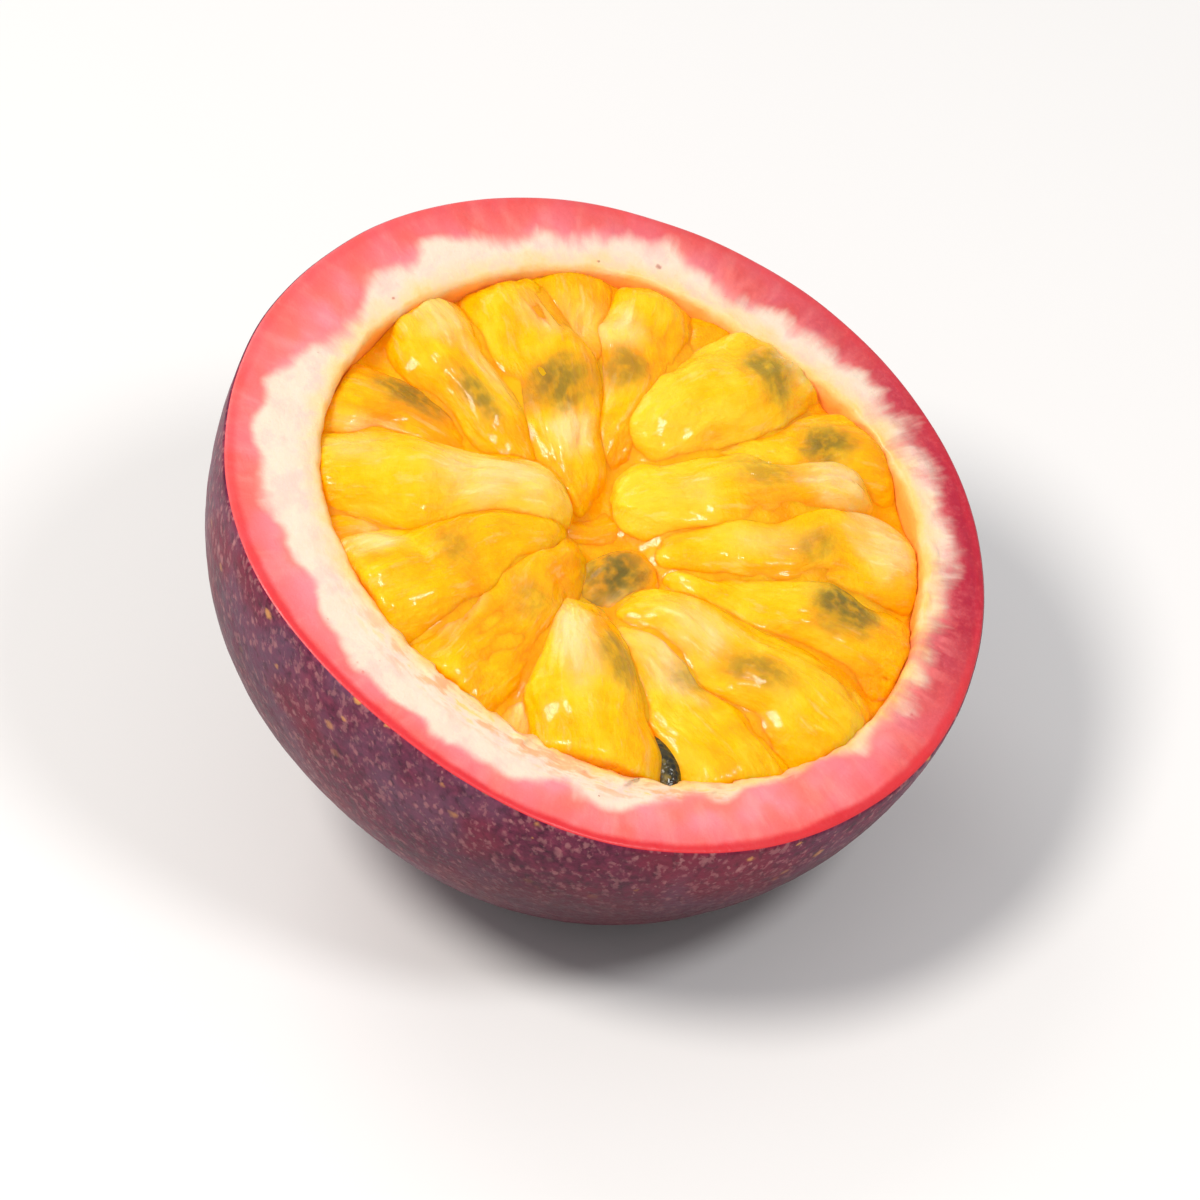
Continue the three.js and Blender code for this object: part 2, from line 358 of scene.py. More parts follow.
class Graph:
    """A shader tree that is filled with one call per node."""

    def __init__(self, tree: bpy.types.NodeTree) -> None:
        """Starts on an empty tree."""
        self.tree = tree

    def add(
        self, kind: str, inputs: dict[str | int, Value] | None = None, **settings: object
    ) -> bpy.types.Node:
        """Adds a node.

        Args:
            kind: the node's type.
            inputs: sockets to link and values to set, by socket name or number.
            **settings: the node's own properties.

        Returns:
            The node.
        """
        node = self.tree.nodes.new(kind)
        for name, value in settings.items():
            setattr(node, name, value)
        for name, value in (inputs or {}).items():
            if isinstance(value, Socket):
                self.tree.links.new(value, node.inputs[name])
            else:
                node.inputs[name].default_value = value
        return node

    def math(self, operation: str, first: Value, second: Value, clamp: bool = False) -> Socket:
        """The result of one sum of two numbers."""
        node = self.add("ShaderNodeMath", {0: first, 1: second}, operation=operation, use_clamp=clamp)
        return node.outputs[0]

    def times(self, first: Value, second: Value, clamp: bool = False) -> Socket:
        """The product of two numbers."""
        return self.math("MULTIPLY", first, second, clamp)

    def plus(self, first: Value, second: Value, clamp: bool = False) -> Socket:
        """The sum of two numbers."""
        return self.math("ADD", first, second, clamp)

    def swing(self, value: Value, reach: Value) -> Socket:
        """How far a value lies from a half, times a reach."""
        return self.times(self.math("SUBTRACT", value, 0.5), reach)

    def vector(self, operation: str, first: Value, second: Value) -> Socket:
        """The result of one sum of two vectors."""
        return self.add("ShaderNodeVectorMath", {0: first, 1: second}, operation=operation).outputs[0]

    def mix(self, factor: Value, first: Value, second: Value, blend: str = "MIX") -> Socket:
        """Two colours mixed."""
        inputs = {0: factor, 6: first, 7: second}
        return self.add("ShaderNodeMix", inputs, data_type="RGBA", blend_type=blend).outputs[2]

    def between(
        self, value: Value, low: Value, high: Value, start: float = 0.0, end: float = 1.0
    ) -> Socket:
        """A smooth step from start to end as value goes from low to high."""
        inputs = {"Value": value, "From Min": low, "From Max": high, "To Min": start, "To Max": end}
        return self.add("ShaderNodeMapRange", inputs, interpolation_type="SMOOTHSTEP").outputs[0]

    def ramp(self, factor: Value, stops: list[tuple[float, str]]) -> Socket:
        """A colour from a list of places from 0 to 1 and colour codes."""
        node = self.add("ShaderNodeValToRGB", {0: factor})
        elements = node.color_ramp.elements
        while len(elements) < len(stops):
            elements.new(1.0)
        for element, (place, code) in zip(elements, stops):
            element.position = place
            element.color = colour(code)
        return node.outputs[0]

    def noise(self, place: Value, scale: float, detail: float = 3.0, roughness: float = 0.5) -> Socket:
        """Soft noise, around a half."""
        inputs = {"Vector": place, "Scale": scale, "Detail": detail, "Roughness": roughness}
        return self.add("ShaderNodeTexNoise", inputs).outputs[0]

    def cells(self, place: Value, scale: Value) -> bpy.types.Node:
        """A pattern of scattered points, whose Distance grows from each one."""
        return self.add("ShaderNodeTexVoronoi", {"Vector": place, "Scale": scale})

    def attribute(self, name: str) -> tuple[Socket, Socket, Socket]:
        """The three numbers that a mesh keeps under a name."""
        vector = self.add("ShaderNodeAttribute", attribute_name=name).outputs["Vector"]
        parts = self.add("ShaderNodeSeparateXYZ", {0: vector}).outputs
        return parts[0], parts[1], parts[2]

    def place(self) -> Socket:
        """The place on the object, in millimetres."""
        coordinates = self.add("ShaderNodeTexCoord").outputs["Object"]
        return self.vector("MULTIPLY", coordinates, (1000.0, 1000.0, 1000.0))

    def bump(self, height: Socket, distance: float, strength: float = 1.0) -> Socket:
        """A normal from a height.

        Args:
            height: from 0 to 1.
            distance: what a height of 1 is, in millimetres.
            strength: share of the effect.

        Returns:
            The normal.
        """
        inputs = {"Height": height, "Distance": distance * MM, "Strength": strength}
        return self.add("ShaderNodeBump", inputs).outputs[0]

    def group(self, tree: bpy.types.NodeTree, inputs: dict[str, Value]) -> bpy.types.Node:
        """Places a shared effect."""
        node = self.add("ShaderNodeGroup", node_tree=tree)
        for name, value in inputs.items():
            if isinstance(value, Socket):
                self.tree.links.new(value, node.inputs[name])
            else:
                node.inputs[name].default_value = value
        return node


def new_material(name: str) -> tuple[bpy.types.Material, Graph]:
    """An empty material and the graph that fills it."""
    material = bpy.data.materials.new(name)
    material.use_nodes = True
    material.node_tree.nodes.clear()
    return material, Graph(material.node_tree)


def surface(graph: Graph, **inputs: Value) -> None:
    """Ends a material in its shader.

    Args:
        graph: the material's graph.
        **inputs: the shader's sockets, with underscores for spaces.
    """
    sockets = {name.replace("_", " "): value for name, value in inputs.items()}
    shader = graph.add("ShaderNodeBsdfPrincipled", sockets)
    graph.add("ShaderNodeOutputMaterial", {"Surface": shader.outputs[0]})


def new_group(
    name: str, inputs: dict[str, str], outputs: dict[str, str]
) -> tuple[Graph, dict[str, Socket]]:
    """An empty shared effect.

    Args:
        name: its name.
        inputs: the type of each input socket.
        outputs: the type of each output socket.

    Returns:
        The graph that fills it, and its input sockets as the graph sees them.
    """
    tree = bpy.data.node_groups.new(name, "ShaderNodeTree")
    for label, kind in inputs.items():
        tree.interface.new_socket(label, in_out="INPUT", socket_type=kind)
    for label, kind in outputs.items():
        tree.interface.new_socket(label, in_out="OUTPUT", socket_type=kind)
    graph = Graph(tree)
    start = graph.add("NodeGroupInput")
    return graph, {label: start.outputs[label] for label in inputs}


class Effects:
    """The effects that several finishes share."""

    def __init__(self) -> None:
        """Builds each effect once."""
        self.specks = self._specks()
        self.wetness = self._wetness()

    def _specks(self) -> bpy.types.NodeTree:
        """Scattered dots of uneven size, as a mask."""
        sockets = {"Place": "NodeSocketVector", "Density": "NodeSocketFloat", "Size": "NodeSocketFloat"}
        graph, given = new_group("Specks", sockets, {"Mask": "NodeSocketFloat"})
        wobble = graph.add("ShaderNodeTexNoise", {"Vector": given["Place"], "Scale": 2.2, "Detail": 2.0})
        moved = graph.vector("MULTIPLY", wobble.outputs["Color"], (0.5, 0.5, 0.5))
        place = graph.vector("ADD", given["Place"], moved)
        dots = graph.cells(place, given["Density"])
        lot = graph.add("ShaderNodeSeparateColor", {0: dots.outputs["Color"]}).outputs[0]
        reach = graph.times(lot, given["Size"])
        mask = graph.between(dots.outputs["Distance"], reach, graph.times(reach, 0.35))
        graph.add("NodeGroupOutput", {"Mask": mask})
        return graph.tree

    def _wetness(self) -> bpy.types.NodeTree:
        """The uneven gloss and the fine relief of wet pulp."""
        sockets = {"Place": "NodeSocketVector", "Dry": "NodeSocketFloat", "Relief": "NodeSocketFloat"}
        results = {"Roughness": "NodeSocketFloat", "Height": "NodeSocketFloat"}
        graph, given = new_group("Wetness", sockets, results)
        broad = graph.noise(given["Place"], 0.45, 3.0)
        fine = graph.noise(given["Place"], 2.4, 4.0, 0.55)
        patches = graph.between(broad, 0.35, 0.7)
        roughness = graph.plus(graph.times(patches, 0.2), given["Dry"])
        both = graph.plus(graph.times(fine, 0.5), graph.times(broad, 0.9))
        height = graph.times(both, given["Relief"])
        graph.add("NodeGroupOutput", {"Roughness": roughness, "Height": height})
        return graph.tree


# ---------------------------------------------------------------- finishes


@dataclass(frozen=True)
class SkinFinish:
    """Thin waxy skin: plum, mottled, with fine pale specks and a dry stalk scar."""

    dark: str = "3b1226"
    plum: str = "6b2541"
    light: str = "8c3a52"
    # deep: the colour of the painted shade that darkens the skin towards the stalk
    deep: str = "3f0a1c"
    red: str = "841f34"
    # the skin's pale violet bloom, lightened so that it also paints in the sheen of reflected light
    bloom_and_sheen: str = "725068"
    speck: str = "ba7a7c"
    fleck: str = "dc9a58"
    scar: str = "b08a4e"
    scar_dark: str = "6d4a26"
    scar_pale: str = "d8bd85"

    def material(self, effects: Effects) -> bpy.types.Material:
        """The skin's material.

        The mesh keeps "skin" as how near the rim, how far on the scar and how much painted shade darkens it
        towards the stalk.
        """
        material, graph = new_material("skin")
        near_rim, on_scar, painted_stalk_shade = graph.attribute("skin")
        place = graph.place()
        broad = graph.noise(place, 0.085, 4.0, 0.6)
        middle = graph.noise(place, 0.34, 4.0, 0.6)
        fine = graph.noise(place, 1.7, 5.0, 0.62)
        mottle = graph.plus(graph.times(fine, 0.75), graph.times(middle, 0.35))
        base = graph.ramp(mottle, [(0.38, self.dark), (0.55, self.plum), (0.72, self.light)])
        base = graph.mix(graph.between(broad, 0.46, 0.64, 0.0, 0.6), base, colour(self.red))
        # patches of the bloom colour: the skin's own bloom together with painted sheen
        bloom_and_sheen_share = graph.between(graph.noise(place, 0.12, 3.0), 0.46, 0.66)
        base = graph.mix(graph.times(bloom_and_sheen_share, 0.55), base, colour(self.bloom_and_sheen))
        long = graph.vector("MULTIPLY", place, (1.0, 1.0, 0.65))
        blobs = graph.between(graph.noise(long, 1.5, 3.5, 0.6), 0.53, 0.66)
        base = graph.mix(graph.times(blobs, 0.45), base, colour(self.speck))
        elsewhere = graph.vector("ADD", long, (31.0, 17.0, 5.0))
        pits = graph.between(graph.noise(elsewhere, 1.7, 2.5, 0.5), 0.54, 0.68)
        base = graph.mix(graph.times(pits, 0.45), base, colour(self.dark))
        tiny = graph.group(effects.specks, {"Place": long, "Density": 1.7, "Size": 0.6}).outputs[0]
        tiny = graph.times(tiny, graph.between(middle, 0.38, 0.58, 0.2, 0.65))
        base = graph.mix(tiny, base, colour(self.speck))
        flecks = graph.group(effects.specks, {"Place": place, "Density": 0.5, "Size": 0.3}).outputs[0]
        flecks = graph.times(flecks, graph.plus(graph.times(near_rim, 0.7), 0.12))
        base = graph.mix(flecks, base, colour(self.fleck))
        # painted shade: the lower skin darkens to deep maroon towards the stalk
        base = graph.mix(graph.times(painted_stalk_shade, 0.78, True), base, colour(self.deep))
        bark = [(0.35, self.scar_dark), (0.6, self.scar), (0.8, self.scar_pale)]
        dry = graph.ramp(graph.noise(place, 2.2, 4.0), bark)
        base = graph.mix(on_scar, base, dry)
        rough = graph.between(fine, 0.3, 0.75, 0.34, 0.5)
        rough = graph.plus(rough, graph.times(on_scar, 0.35), clamp=True)
        height = graph.plus(graph.times(fine, 0.6), graph.times(blobs, 0.25))
        normal = graph.bump(height, 0.12, 0.6)
        surface(graph, Base_Color=base, Roughness=rough, Normal=normal, IOR=1.33, Specular_IOR_Level=0.15,
                Coat_Weight=0.04, Coat_Roughness=0.2)
        return material


@dataclass(frozen=True)
class CutFinish:
    """The cut rind: red line under the skin, coral flesh, and pith that yellows towards the pulp."""

    line: str = "d6242f"
    rim: str = "f05a58"
    coral: str = "f87a6e"
    pink: str = "f48992"
    crimson: str = "b01c38"
    streak: str = "df6a6e"
    cream: str = "ecd7c2"
    blush: str = "efcabb"
    honey: str = "f6cc7c"
    peach: str = "f0b080"
    wall: str = "ffb552"
    spot: str = "b0573f"

    def material(self, effects: Effects) -> bpy.types.Material:
        """The cut's material.

        The mesh keeps "cut" as millimetres past the pith's edge, in from the skin and down in the
        hollow, and "round" as the place on the unit circle with the share of crimson.
        """
        material, graph = new_material("cut rind")
        past, inward, down = graph.attribute("cut")
        side_x, side_y, crimson = graph.attribute("round")
        inner, rag, red_edge = graph.attribute("edge")
        place = graph.place()
        radial = graph.add("ShaderNodeCombineXYZ", {0: side_x, 1: side_y, 2: graph.times(inward, 0.012)})
        streaks = graph.noise(radial.outputs[0], 20.0, 3.0, 0.55)
        clouds = graph.noise(place, 0.42, 4.0, 0.6)
        puffs = graph.noise(place, 0.36, 1.5, 0.4)
        fine = graph.noise(place, 2.6, 4.0, 0.6)

        flesh = graph.mix(graph.between(puffs, 0.3, 0.7), colour(self.coral), colour(self.pink))
        flesh = graph.mix(graph.between(inward, 3.2, 0.4, 0.0, 0.6), flesh, colour(self.rim))
        flesh = graph.mix(graph.between(streaks, 0.42, 0.75, 0.0, 0.14), flesh, colour(self.blush))
        deep = graph.mix(graph.between(streaks, 0.42, 0.64), colour(self.crimson), colour(self.streak))
        deep = graph.mix(graph.between(inward, 3.0, 0.6, 0.15, 0.95), deep, colour(self.crimson))
        flesh = graph.mix(graph.times(crimson, graph.between(fine, 0.2, 0.6, 0.75, 1.0)), flesh, deep)
        under_skin = graph.between(graph.plus(inward, graph.times(clouds, 0.5)), 1.0, 0.4)
        under_skin = graph.times(under_skin, graph.times(red_edge, 0.92))
        flesh = graph.mix(under_skin, flesh, colour(self.line))

        pith = graph.mix(graph.between(clouds, 0.45, 0.66), colour(self.cream), colour(self.blush))
        near_pulp = graph.plus(inner, graph.swing(clouds, 3.2))
        pith = graph.mix(graph.between(near_pulp, 2.2, -0.4, 0.0, 0.9), pith, colour(self.honey))
        pith = graph.mix(graph.between(near_pulp, 0.7, -0.7, 0.0, 0.75), pith, colour(self.wall))
        around = graph.add("ShaderNodeCombineXYZ", {0: side_x, 1: side_y, 2: graph.times(inner, 0.16)})
        bands = graph.noise(around.outputs[0], 8.0, 4.0, 0.6)
        torn = graph.times(rag, graph.between(inner, 3.4, 1.2))
        pith = graph.mix(graph.times(torn, graph.between(bands, 0.48, 0.62)), pith, colour(self.peach))
        pith = graph.mix(graph.times(torn, graph.between(bands, 0.44, 0.34)), pith, colour(self.honey))
        pith = graph.mix(graph.between(down, 0.1, 1.5), pith, colour(self.wall))
        spots = graph.group(effects.specks, {"Place": place, "Density": 0.42, "Size": 0.13}).outputs[0]
        pith = graph.mix(graph.times(spots, 0.65), pith, colour(self.spot))

        reach = graph.plus(graph.times(crimson, 3.6), 0.9)
        ragged = graph.swing(streaks, reach)
        lobes = graph.swing(graph.noise(place, 0.17, 1.0), 4.5)
        cloudy = graph.swing(puffs, 2.2)
        edge = graph.plus(graph.plus(past, ragged), graph.plus(cloudy, lobes))
        low = graph.math("SUBTRACT", -0.55, graph.times(crimson, 0.5))
        high = graph.plus(graph.times(crimson, 1.0), 0.6)
        is_flesh = graph.between(edge, low, high)
        base = graph.mix(is_flesh, pith, flesh)

        height = graph.plus(graph.times(fine, 0.5), graph.times(streaks, 0.3))
        rough = graph.between(clouds, 0.3, 0.7, 0.3, 0.5)
        surface(graph, Base_Color=base, Roughness=rough, Normal=graph.bump(height, 0.16, 0.7), IOR=1.4,
                Coat_Weight=0.15, Coat_Roughness=0.25, Subsurface_Weight=0.35,
                Subsurface_Radius=(1.0, 0.35, 0.25), Subsurface_Scale=0.0012)
        return material


# Sacs and bed are the same wet pulp. The faint glow in their own colour stands in for the light that
# passes right through real pulp: without it their shadows turn brown.
WET_PULP = {
    "IOR": 1.33,
    "Specular_IOR_Level": 0.2,
    "Coat_IOR": 1.3,
    "Coat_Roughness": 0.06,
    "Subsurface_Weight": 0.7,
    "Subsurface_Radius": (1.0, 0.5, 0.08),
    "Subsurface_Scale": 0.003,
    "Emission_Strength": 0.1,
}


@dataclass(frozen=True)
class SacFinish:
    """A juice sac: wet translucent yellow to orange, hazy at its ends, dark where its seed shows."""

    pale: str = "ffc42a"
    yellow: str = "ffb600"
    orange: str = "ffa200"
    # deep: the ripest orange, and also the colour of the painted shade in the creases
    deep: str = "ff9400"
    haze: str = "fbca82"
    fibre: str = "ffe79c"
    halo: str = "c8a222"
    seed: str = "55582c"

    def material(self, effects: Effects) -> bpy.types.Material:
        """The sacs' material.

        The mesh keeps "pulp" as the shares of painted crease shade, haze and seed, "sac" as the place along
        the sac's own axes, and "tone" as ripeness, share along and depth under the cut, which deepens the
        orange as painted shade.
        """
        material, graph = new_material("juice sac")
        crease_shade, haze, seed = graph.attribute("pulp")
        ripeness, _, depth = graph.attribute("tone")
        own = graph.add("ShaderNodeAttribute", attribute_name="sac").outputs["Vector"]
        along = graph.vector("MULTIPLY", own, (0.22, 1.0, 1.0))
        fibres = graph.noise(along, 1.5, 5.0, 0.62)
        broad = graph.noise(own, 0.28, 4.0, 0.6)
        ripe = graph.plus(ripeness, graph.swing(broad, 1.7))
        # painted shade: the deeper under the cut, the more orange
        ripe = graph.plus(ripe, graph.times(depth, 0.04))
        ripe = graph.plus(ripe, graph.swing(fibres, 0.7), clamp=True)
        stops = [(0.0, self.pale), (0.35, self.yellow), (0.68, self.orange), (1.0, self.deep)]
        base = graph.ramp(ripe, stops)
        threads = graph.times(graph.between(fibres, 0.54, 0.72), graph.plus(haze, 0.22), True)
        base = graph.mix(threads, base, colour(self.fibre))
        mist = graph.times(haze, graph.between(fibres, 0.34, 0.58, 0.65, 1.1), True)
        base = graph.mix(mist, base, colour(self.haze))
        # painted shade: deeper orange in the creases, where the sac meets its neighbours or dips under the
        # valleys
        base = graph.mix(graph.times(crease_shade, 0.8), base, colour(self.deep))
        base = graph.mix(graph.between(seed, 0.0, 0.5, 0.0, 0.35), base, colour(self.halo))
        grain = graph.between(graph.noise(own, 1.1, 2.5), 0.3, 0.6, 0.5, 1.0)
        base = graph.mix(graph.times(seed, grain, True), base, colour(self.seed))
        wet = graph.group(effects.wetness, {"Place": own, "Dry": 0.2, "Relief": 1.0})
        height = graph.plus(wet.outputs["Height"], graph.times(fibres, 0.8))
        surface(graph, Base_Color=base, Emission_Color=base, Roughness=wet.outputs["Roughness"],
                Normal=graph.bump(height, 0.3, 0.75), Coat_Weight=0.6, **WET_PULP)
        return material


@dataclass(frozen=True)
class SeedFinish:
    """A hard dark seed coat with pale rests of pulp in its pits."""

    coat: str = "15150c"
    brown: str = "3a3418"
    rest: str = "8d7a2c"

    def material(self, effects: Effects) -> bpy.types.Material:
        """The seeds' material."""
        material, graph = new_material("seed coat")
        place = graph.place()
        pits = graph.cells(place, 2.6).outputs["Distance"]
        patches = graph.noise(place, 0.9, 3.0)
        base = graph.mix(graph.between(pits, 0.2, 0.75), colour(self.coat), colour(self.brown))
        base = graph.mix(graph.between(patches, 0.52, 0.7, 0.0, 0.7), base, colour(self.rest))
        wet = graph.group(effects.wetness, {"Place": place, "Dry": 0.14, "Relief": 0.5})
        height = graph.plus(wet.outputs["Height"], graph.times(pits, 0.7))
        surface(graph, Base_Color=base, Roughness=wet.outputs["Roughness"],
                Normal=graph.bump(height, 0.2, 0.8), IOR=1.45, Coat_Weight=0.7, Coat_Roughness=0.1)
        return material


@dataclass(frozen=True)
class BedFinish:
    """The wet pulp deep in the cavity, seen in the creases between the sacs."""

    orange: str = "ffb008"
    deep: str = "ff9800"

    def material(self, effects: Effects) -> bpy.types.Material:
        """The bed's material."""
        material, graph = new_material("deep pulp")
        place = graph.place()
        clouds = graph.between(graph.noise(place, 0.4, 4.0), 0.35, 0.65)
        base = graph.mix(clouds, colour(self.deep), colour(self.orange))
        wet = graph.group(effects.wetness, {"Place": place, "Dry": 0.18, "Relief": 1.0})
        surface(graph, Base_Color=base, Emission_Color=base, Roughness=wet.outputs["Roughness"],
                Normal=graph.bump(wet.outputs["Height"], 0.3, 0.8), Coat_Weight=0.7, **WET_PULP)
        return material


@dataclass(frozen=True)
class FloorFinish:
    """A plain pale table top."""

    shade: str = "e9e8e7"

    def material(self) -> bpy.types.Material:
        """The floor's material."""
        material, graph = new_material("floor")
        surface(graph, Base_Color=colour(self.shade), Roughness=0.55)
        return material


# ---------------------------------------------------------------- the rind


@dataclass(frozen=True)
class Rind:
    """Skin, flesh and pith in one bowl, with the scar of the stalk at its bottom.

    Attributes:
        skin: the outside.
        hollow: the cavity's wall.
        cavity: the cavity's edge at the cut.
        pith: where the pith ends and the flesh begins, at the cut.
        crimson: share of crimson in the flesh.
        ragged: how torn the cavity's edge is.
        red_edge: how strongly the red line under the skin shows.
        stalk_shade_by_angle: how strongly painted shade darkens the skin towards the stalk, at each angle.
        flat_side: angle and spread in degrees and depth of the side that is pressed in.
        rounding: radius of the skin's edge at the cut.
        lip: how far the cavity's edge is rounded off.
        dimple: depth and radius of the dimple round the scar.
        scar: radius and height of the stalk's scar.
        sides: steps round the axis.
    """

    skin: Bowl = Bowl(28.0, 28.5, 2.06)
    hollow: Bowl = Bowl(21.8, 22.0, 2.5)
    cavity: Outline = Outline((21.6, 22.1, 21.3, 21.2, 20.9, 20.0, 19.5, 20.8, 22.2, 23.1, 23.3, 23.6))
    pith: Outline = Outline((24.2, 24.9, 24.2, 23.6, 25.2, 24.1, 24.9, 24.1, 23.4, 24.0, 24.3, 25.1))
    crimson: Outline = Outline((0.55, 0.3, 0.25, 0.1, 0.0, 0.0, 0.0, 0.0, 0.0, 0.35, 1.0, 0.95))
    ragged: Outline = Outline((0.5, 0.4, 0.3, 0.3, 0.4, 0.8, 1.6, 2.0, 1.2, 0.5, 0.6, 0.6))
    red_edge: Outline = Outline((0.35, 0.25, 0.2, 0.3, 0.45, 0.9, 1.0, 1.0, 1.0, 0.9, 0.3, 0.3))
    # strength of the painted shade on the lower skin, at each angle
    stalk_shade_by_angle: Outline = Outline((0.8, 0.7, 0.6, 0.6, 0.6, 0.5, 0.3, 0.95, 1.1, 0.9, 0.8, 0.8))
    flat_side: tuple[float, float, float] = (177.0, 30.0, 1.5)
    rounding: float = 0.35
    lip: float = 0.5
    dimple: tuple[float, float] = (0.9, 2.9)
    scar: tuple[float, float] = (1.3, 0.45)
    sides: int = 384

    SKIN_STEPS = 90
    FACE_STEPS = 28
    WALL_STEPS = 44

    def skin_factor(self, turn: np.ndarray) -> np.ndarray:
        """The skin's radius over its bowl's, at each angle."""
        angle, spread, depth = self.flat_side
        away = (turn - math.radians(angle) + math.pi) % (2 * math.pi) - math.pi
        return 1.0 - depth / self.skin.radius * np.exp(-((away / math.radians(spread)) ** 2))

    def profile(self) -> list[tuple[float, float, float]]:
        """Radius, height and ring of each point, from the bottom over the cut into the hollow.

        Returns:
            The points. Ring is 1 on the skin, from 1 down to 0 on the cut, and below 0 in the hollow.
        """
        depth, reach = self.dimple
        radius, height = self.scar
        bottom = -self.skin.depth + depth
        points = [(0.0, bottom - height * 0.55, 1.0), (radius * 0.3, bottom - height * 0.75, 1.0)]
        points += [(radius * 0.6, bottom - height, 1.0), (radius * 0.85, bottom - height * 0.9, 1.0)]
        points += [(radius, bottom - height * 0.4, 1.0), (radius * 1.04, bottom, 1.0)]
        for step in range(1, self.SKIN_STEPS + 1):
            across, down = self.skin.point(step / self.SKIN_STEPS)
            if across > radius * 1.15 and down < -self.rounding:
                points.append((across, down + depth * math.exp(-((across / reach) ** 2)), 1.0))
        for step in range(5):
            turn = math.radians(22.5 * step)
            inset = self.rounding * (1 - math.cos(turn))
            level = self.rounding * (math.sin(turn) - 1)
            points.append((self.skin.radius - inset, level, 1.0 - step * 1e-4))
        outer, inner = self.skin.radius - self.rounding, self.hollow.radius + self.lip
        for step in range(1, self.FACE_STEPS + 1):
            share = step / self.FACE_STEPS
            points.append((outer + (inner - outer) * share, 0.0, 0.99 * (1 - share)))
        for step in range(1, 4):
            turn = math.radians(30.0 * step)
            points.append((inner - self.lip * math.sin(turn), self.lip * (math.cos(turn) - 1), -0.1 * step))
        for step in range(self.WALL_STEPS - 1, -1, -1):
            across, down = self.hollow.point(step / self.WALL_STEPS)
            if down < -self.lip * 1.3:
                points.append((across, down, -1.0))
        return points

    def mesh(self) -> bpy.types.Mesh:
        """The rind's mesh: spun, then shaped by its outlines, roughened, and pressed flat below."""
        mesh = spun(self.profile(), "ring", self.sides)
        places = corners(mesh)
        ring = np.array([item.value for item in mesh.attributes["ring"].data])
        turn = np.arctan2(places[:, 1], places[:, 0])
        radius = np.hypot(places[:, 0], places[:, 1])
        share = np.clip(ring, 0.0, 1.0)
        lumps = 1.0 + 0.006 * ripple(places, 0.05, 1.0) * smoothstep(0.0, 6.0, radius)
        outside = self.skin_factor(turn) * lumps
        inside = self.cavity.at(turn) / self.hollow.radius
        factor = share * outside + (1.0 - share) * inside

        rag = self.ragged.at(turn)
        fray = ripple(places, 0.7, 2.0, 5) * 0.65 + ripple(places, 0.16, 4.0, 2) * 0.45
        at_lip = smoothstep(0.4, 0.02, ring) * smoothstep(-4.0, -0.5, places[:, 2])
        factor += at_lip * fray * rag * 0.024
        on_cut = (ring < 0.999) & (ring > -0.05)
        relief = 0.16 * ripple(places, 0.22, 3.0) + 0.05 * ripple(places, 1.3, 5.0)
        places[:, 2] += np.where(on_cut, relief * smoothstep(1.0, 0.9, share), 0.0)
        places[:, 2] += at_lip * (fray * 0.25 - 0.1) * rag
        on_skin = ring > 0.9995
        pores = ripple(places, 0.5, 6.0) * 0.0012
        factor += np.where(on_skin & (places[:, 2] < -1.0), pores, 0.0)
        places[:, 0] *= factor
        places[:, 1] *= factor

        to_row = np.array(FACE.to_row()) / MM
        height = places @ to_row[2, :3] + to_row[2, 3]
        below = np.minimum(height, 0.0)
        places -= below[:, None] * to_row[2, :3]
        move_corners(mesh, places)
        self._keep_places(mesh, ring)
        flags = np.array([ring[list(face.vertices)].max() < 0.99985 for face in mesh.polygons])
        mesh.polygons.foreach_set("material_index", flags.astype(np.int32))
        return mesh

    def _keep_places(self, mesh: bpy.types.Mesh, ring: np.ndarray) -> None:
        """Stores what the skin's and the cut's materials read."""
        places = corners(mesh)
        turn = np.arctan2(places[:, 1], places[:, 0])
        radius = np.hypot(places[:, 0], places[:, 1])
        rim = (self.skin.radius - self.rounding) * self.skin_factor(turn)
        past = radius - self.pith.at(turn)
        down = np.where(ring < 0.0, -places[:, 2], 0.0)
        keep(mesh, "cut", np.column_stack([past, rim - radius, np.maximum(down, 0.0)]))
        keep(mesh, "round", np.column_stack([np.cos(turn), np.sin(turn), self.crimson.at(turn)]))
        on_scar = smoothstep(self.scar[0] * 1.5, self.scar[0] * 0.9, radius) * (places[:, 2] < -20.0)
        near_rim = smoothstep(-9.0, -0.5, places[:, 2])
        # painted shade: darker skin towards the stalk, stronger on some sides
        painted_stalk_shade = smoothstep(-1.0, -12.0, places[:, 2]) * self.stalk_shade_by_angle.at(turn)
        keep(mesh, "skin", np.column_stack([near_rim, on_scar * (ring > 0.5), painted_stalk_shade]))
        inner = np.where(ring < 0.0, 0.0, radius - self.cavity.at(turn))
        torn = np.clip(self.ragged.at(turn) - 0.5, 0, 1)
        keep(mesh, "edge", np.column_stack([inner, torn, self.red_edge.at(turn)]))

    def in_hollow(self, places: np.ndarray, clearance: float) -> np.ndarray:
        """Whether places lie in the cavity, clear of its wall."""
        turn = np.arctan2(places[:, 1], places[:, 0])
        reach = np.hypot(places[:, 0], places[:, 1]) / (self.cavity.at(turn) - clearance)
        drop = np.maximum(-places[:, 2], 0.0) / (self.hollow.depth - clearance)
        return reach**self.hollow.fullness + drop**self.hollow.fullness < 1.0

    def build(self, effects: Effects) -> bpy.types.Object:
        """Builds and dresses the rind."""
        materials = [SkinFinish().material(effects), CutFinish().material(effects)]
        return finish_piece("rind_bowl", self.mesh(), materials, ["rind"])


# ---------------------------------------------------------------- the pulp


@dataclass(frozen=True)
class Mark:
    """A blurred patch on the top of a sac.

    Attributes:
        along: its place from the sac's middle towards the root, in millimetres.
        across: its place to the side.
        length: its size along the sac.
        width: its size across.
        strength: 0 to 1.
    """

    along: float
    across: float
    length: float
    width: float
    strength: float


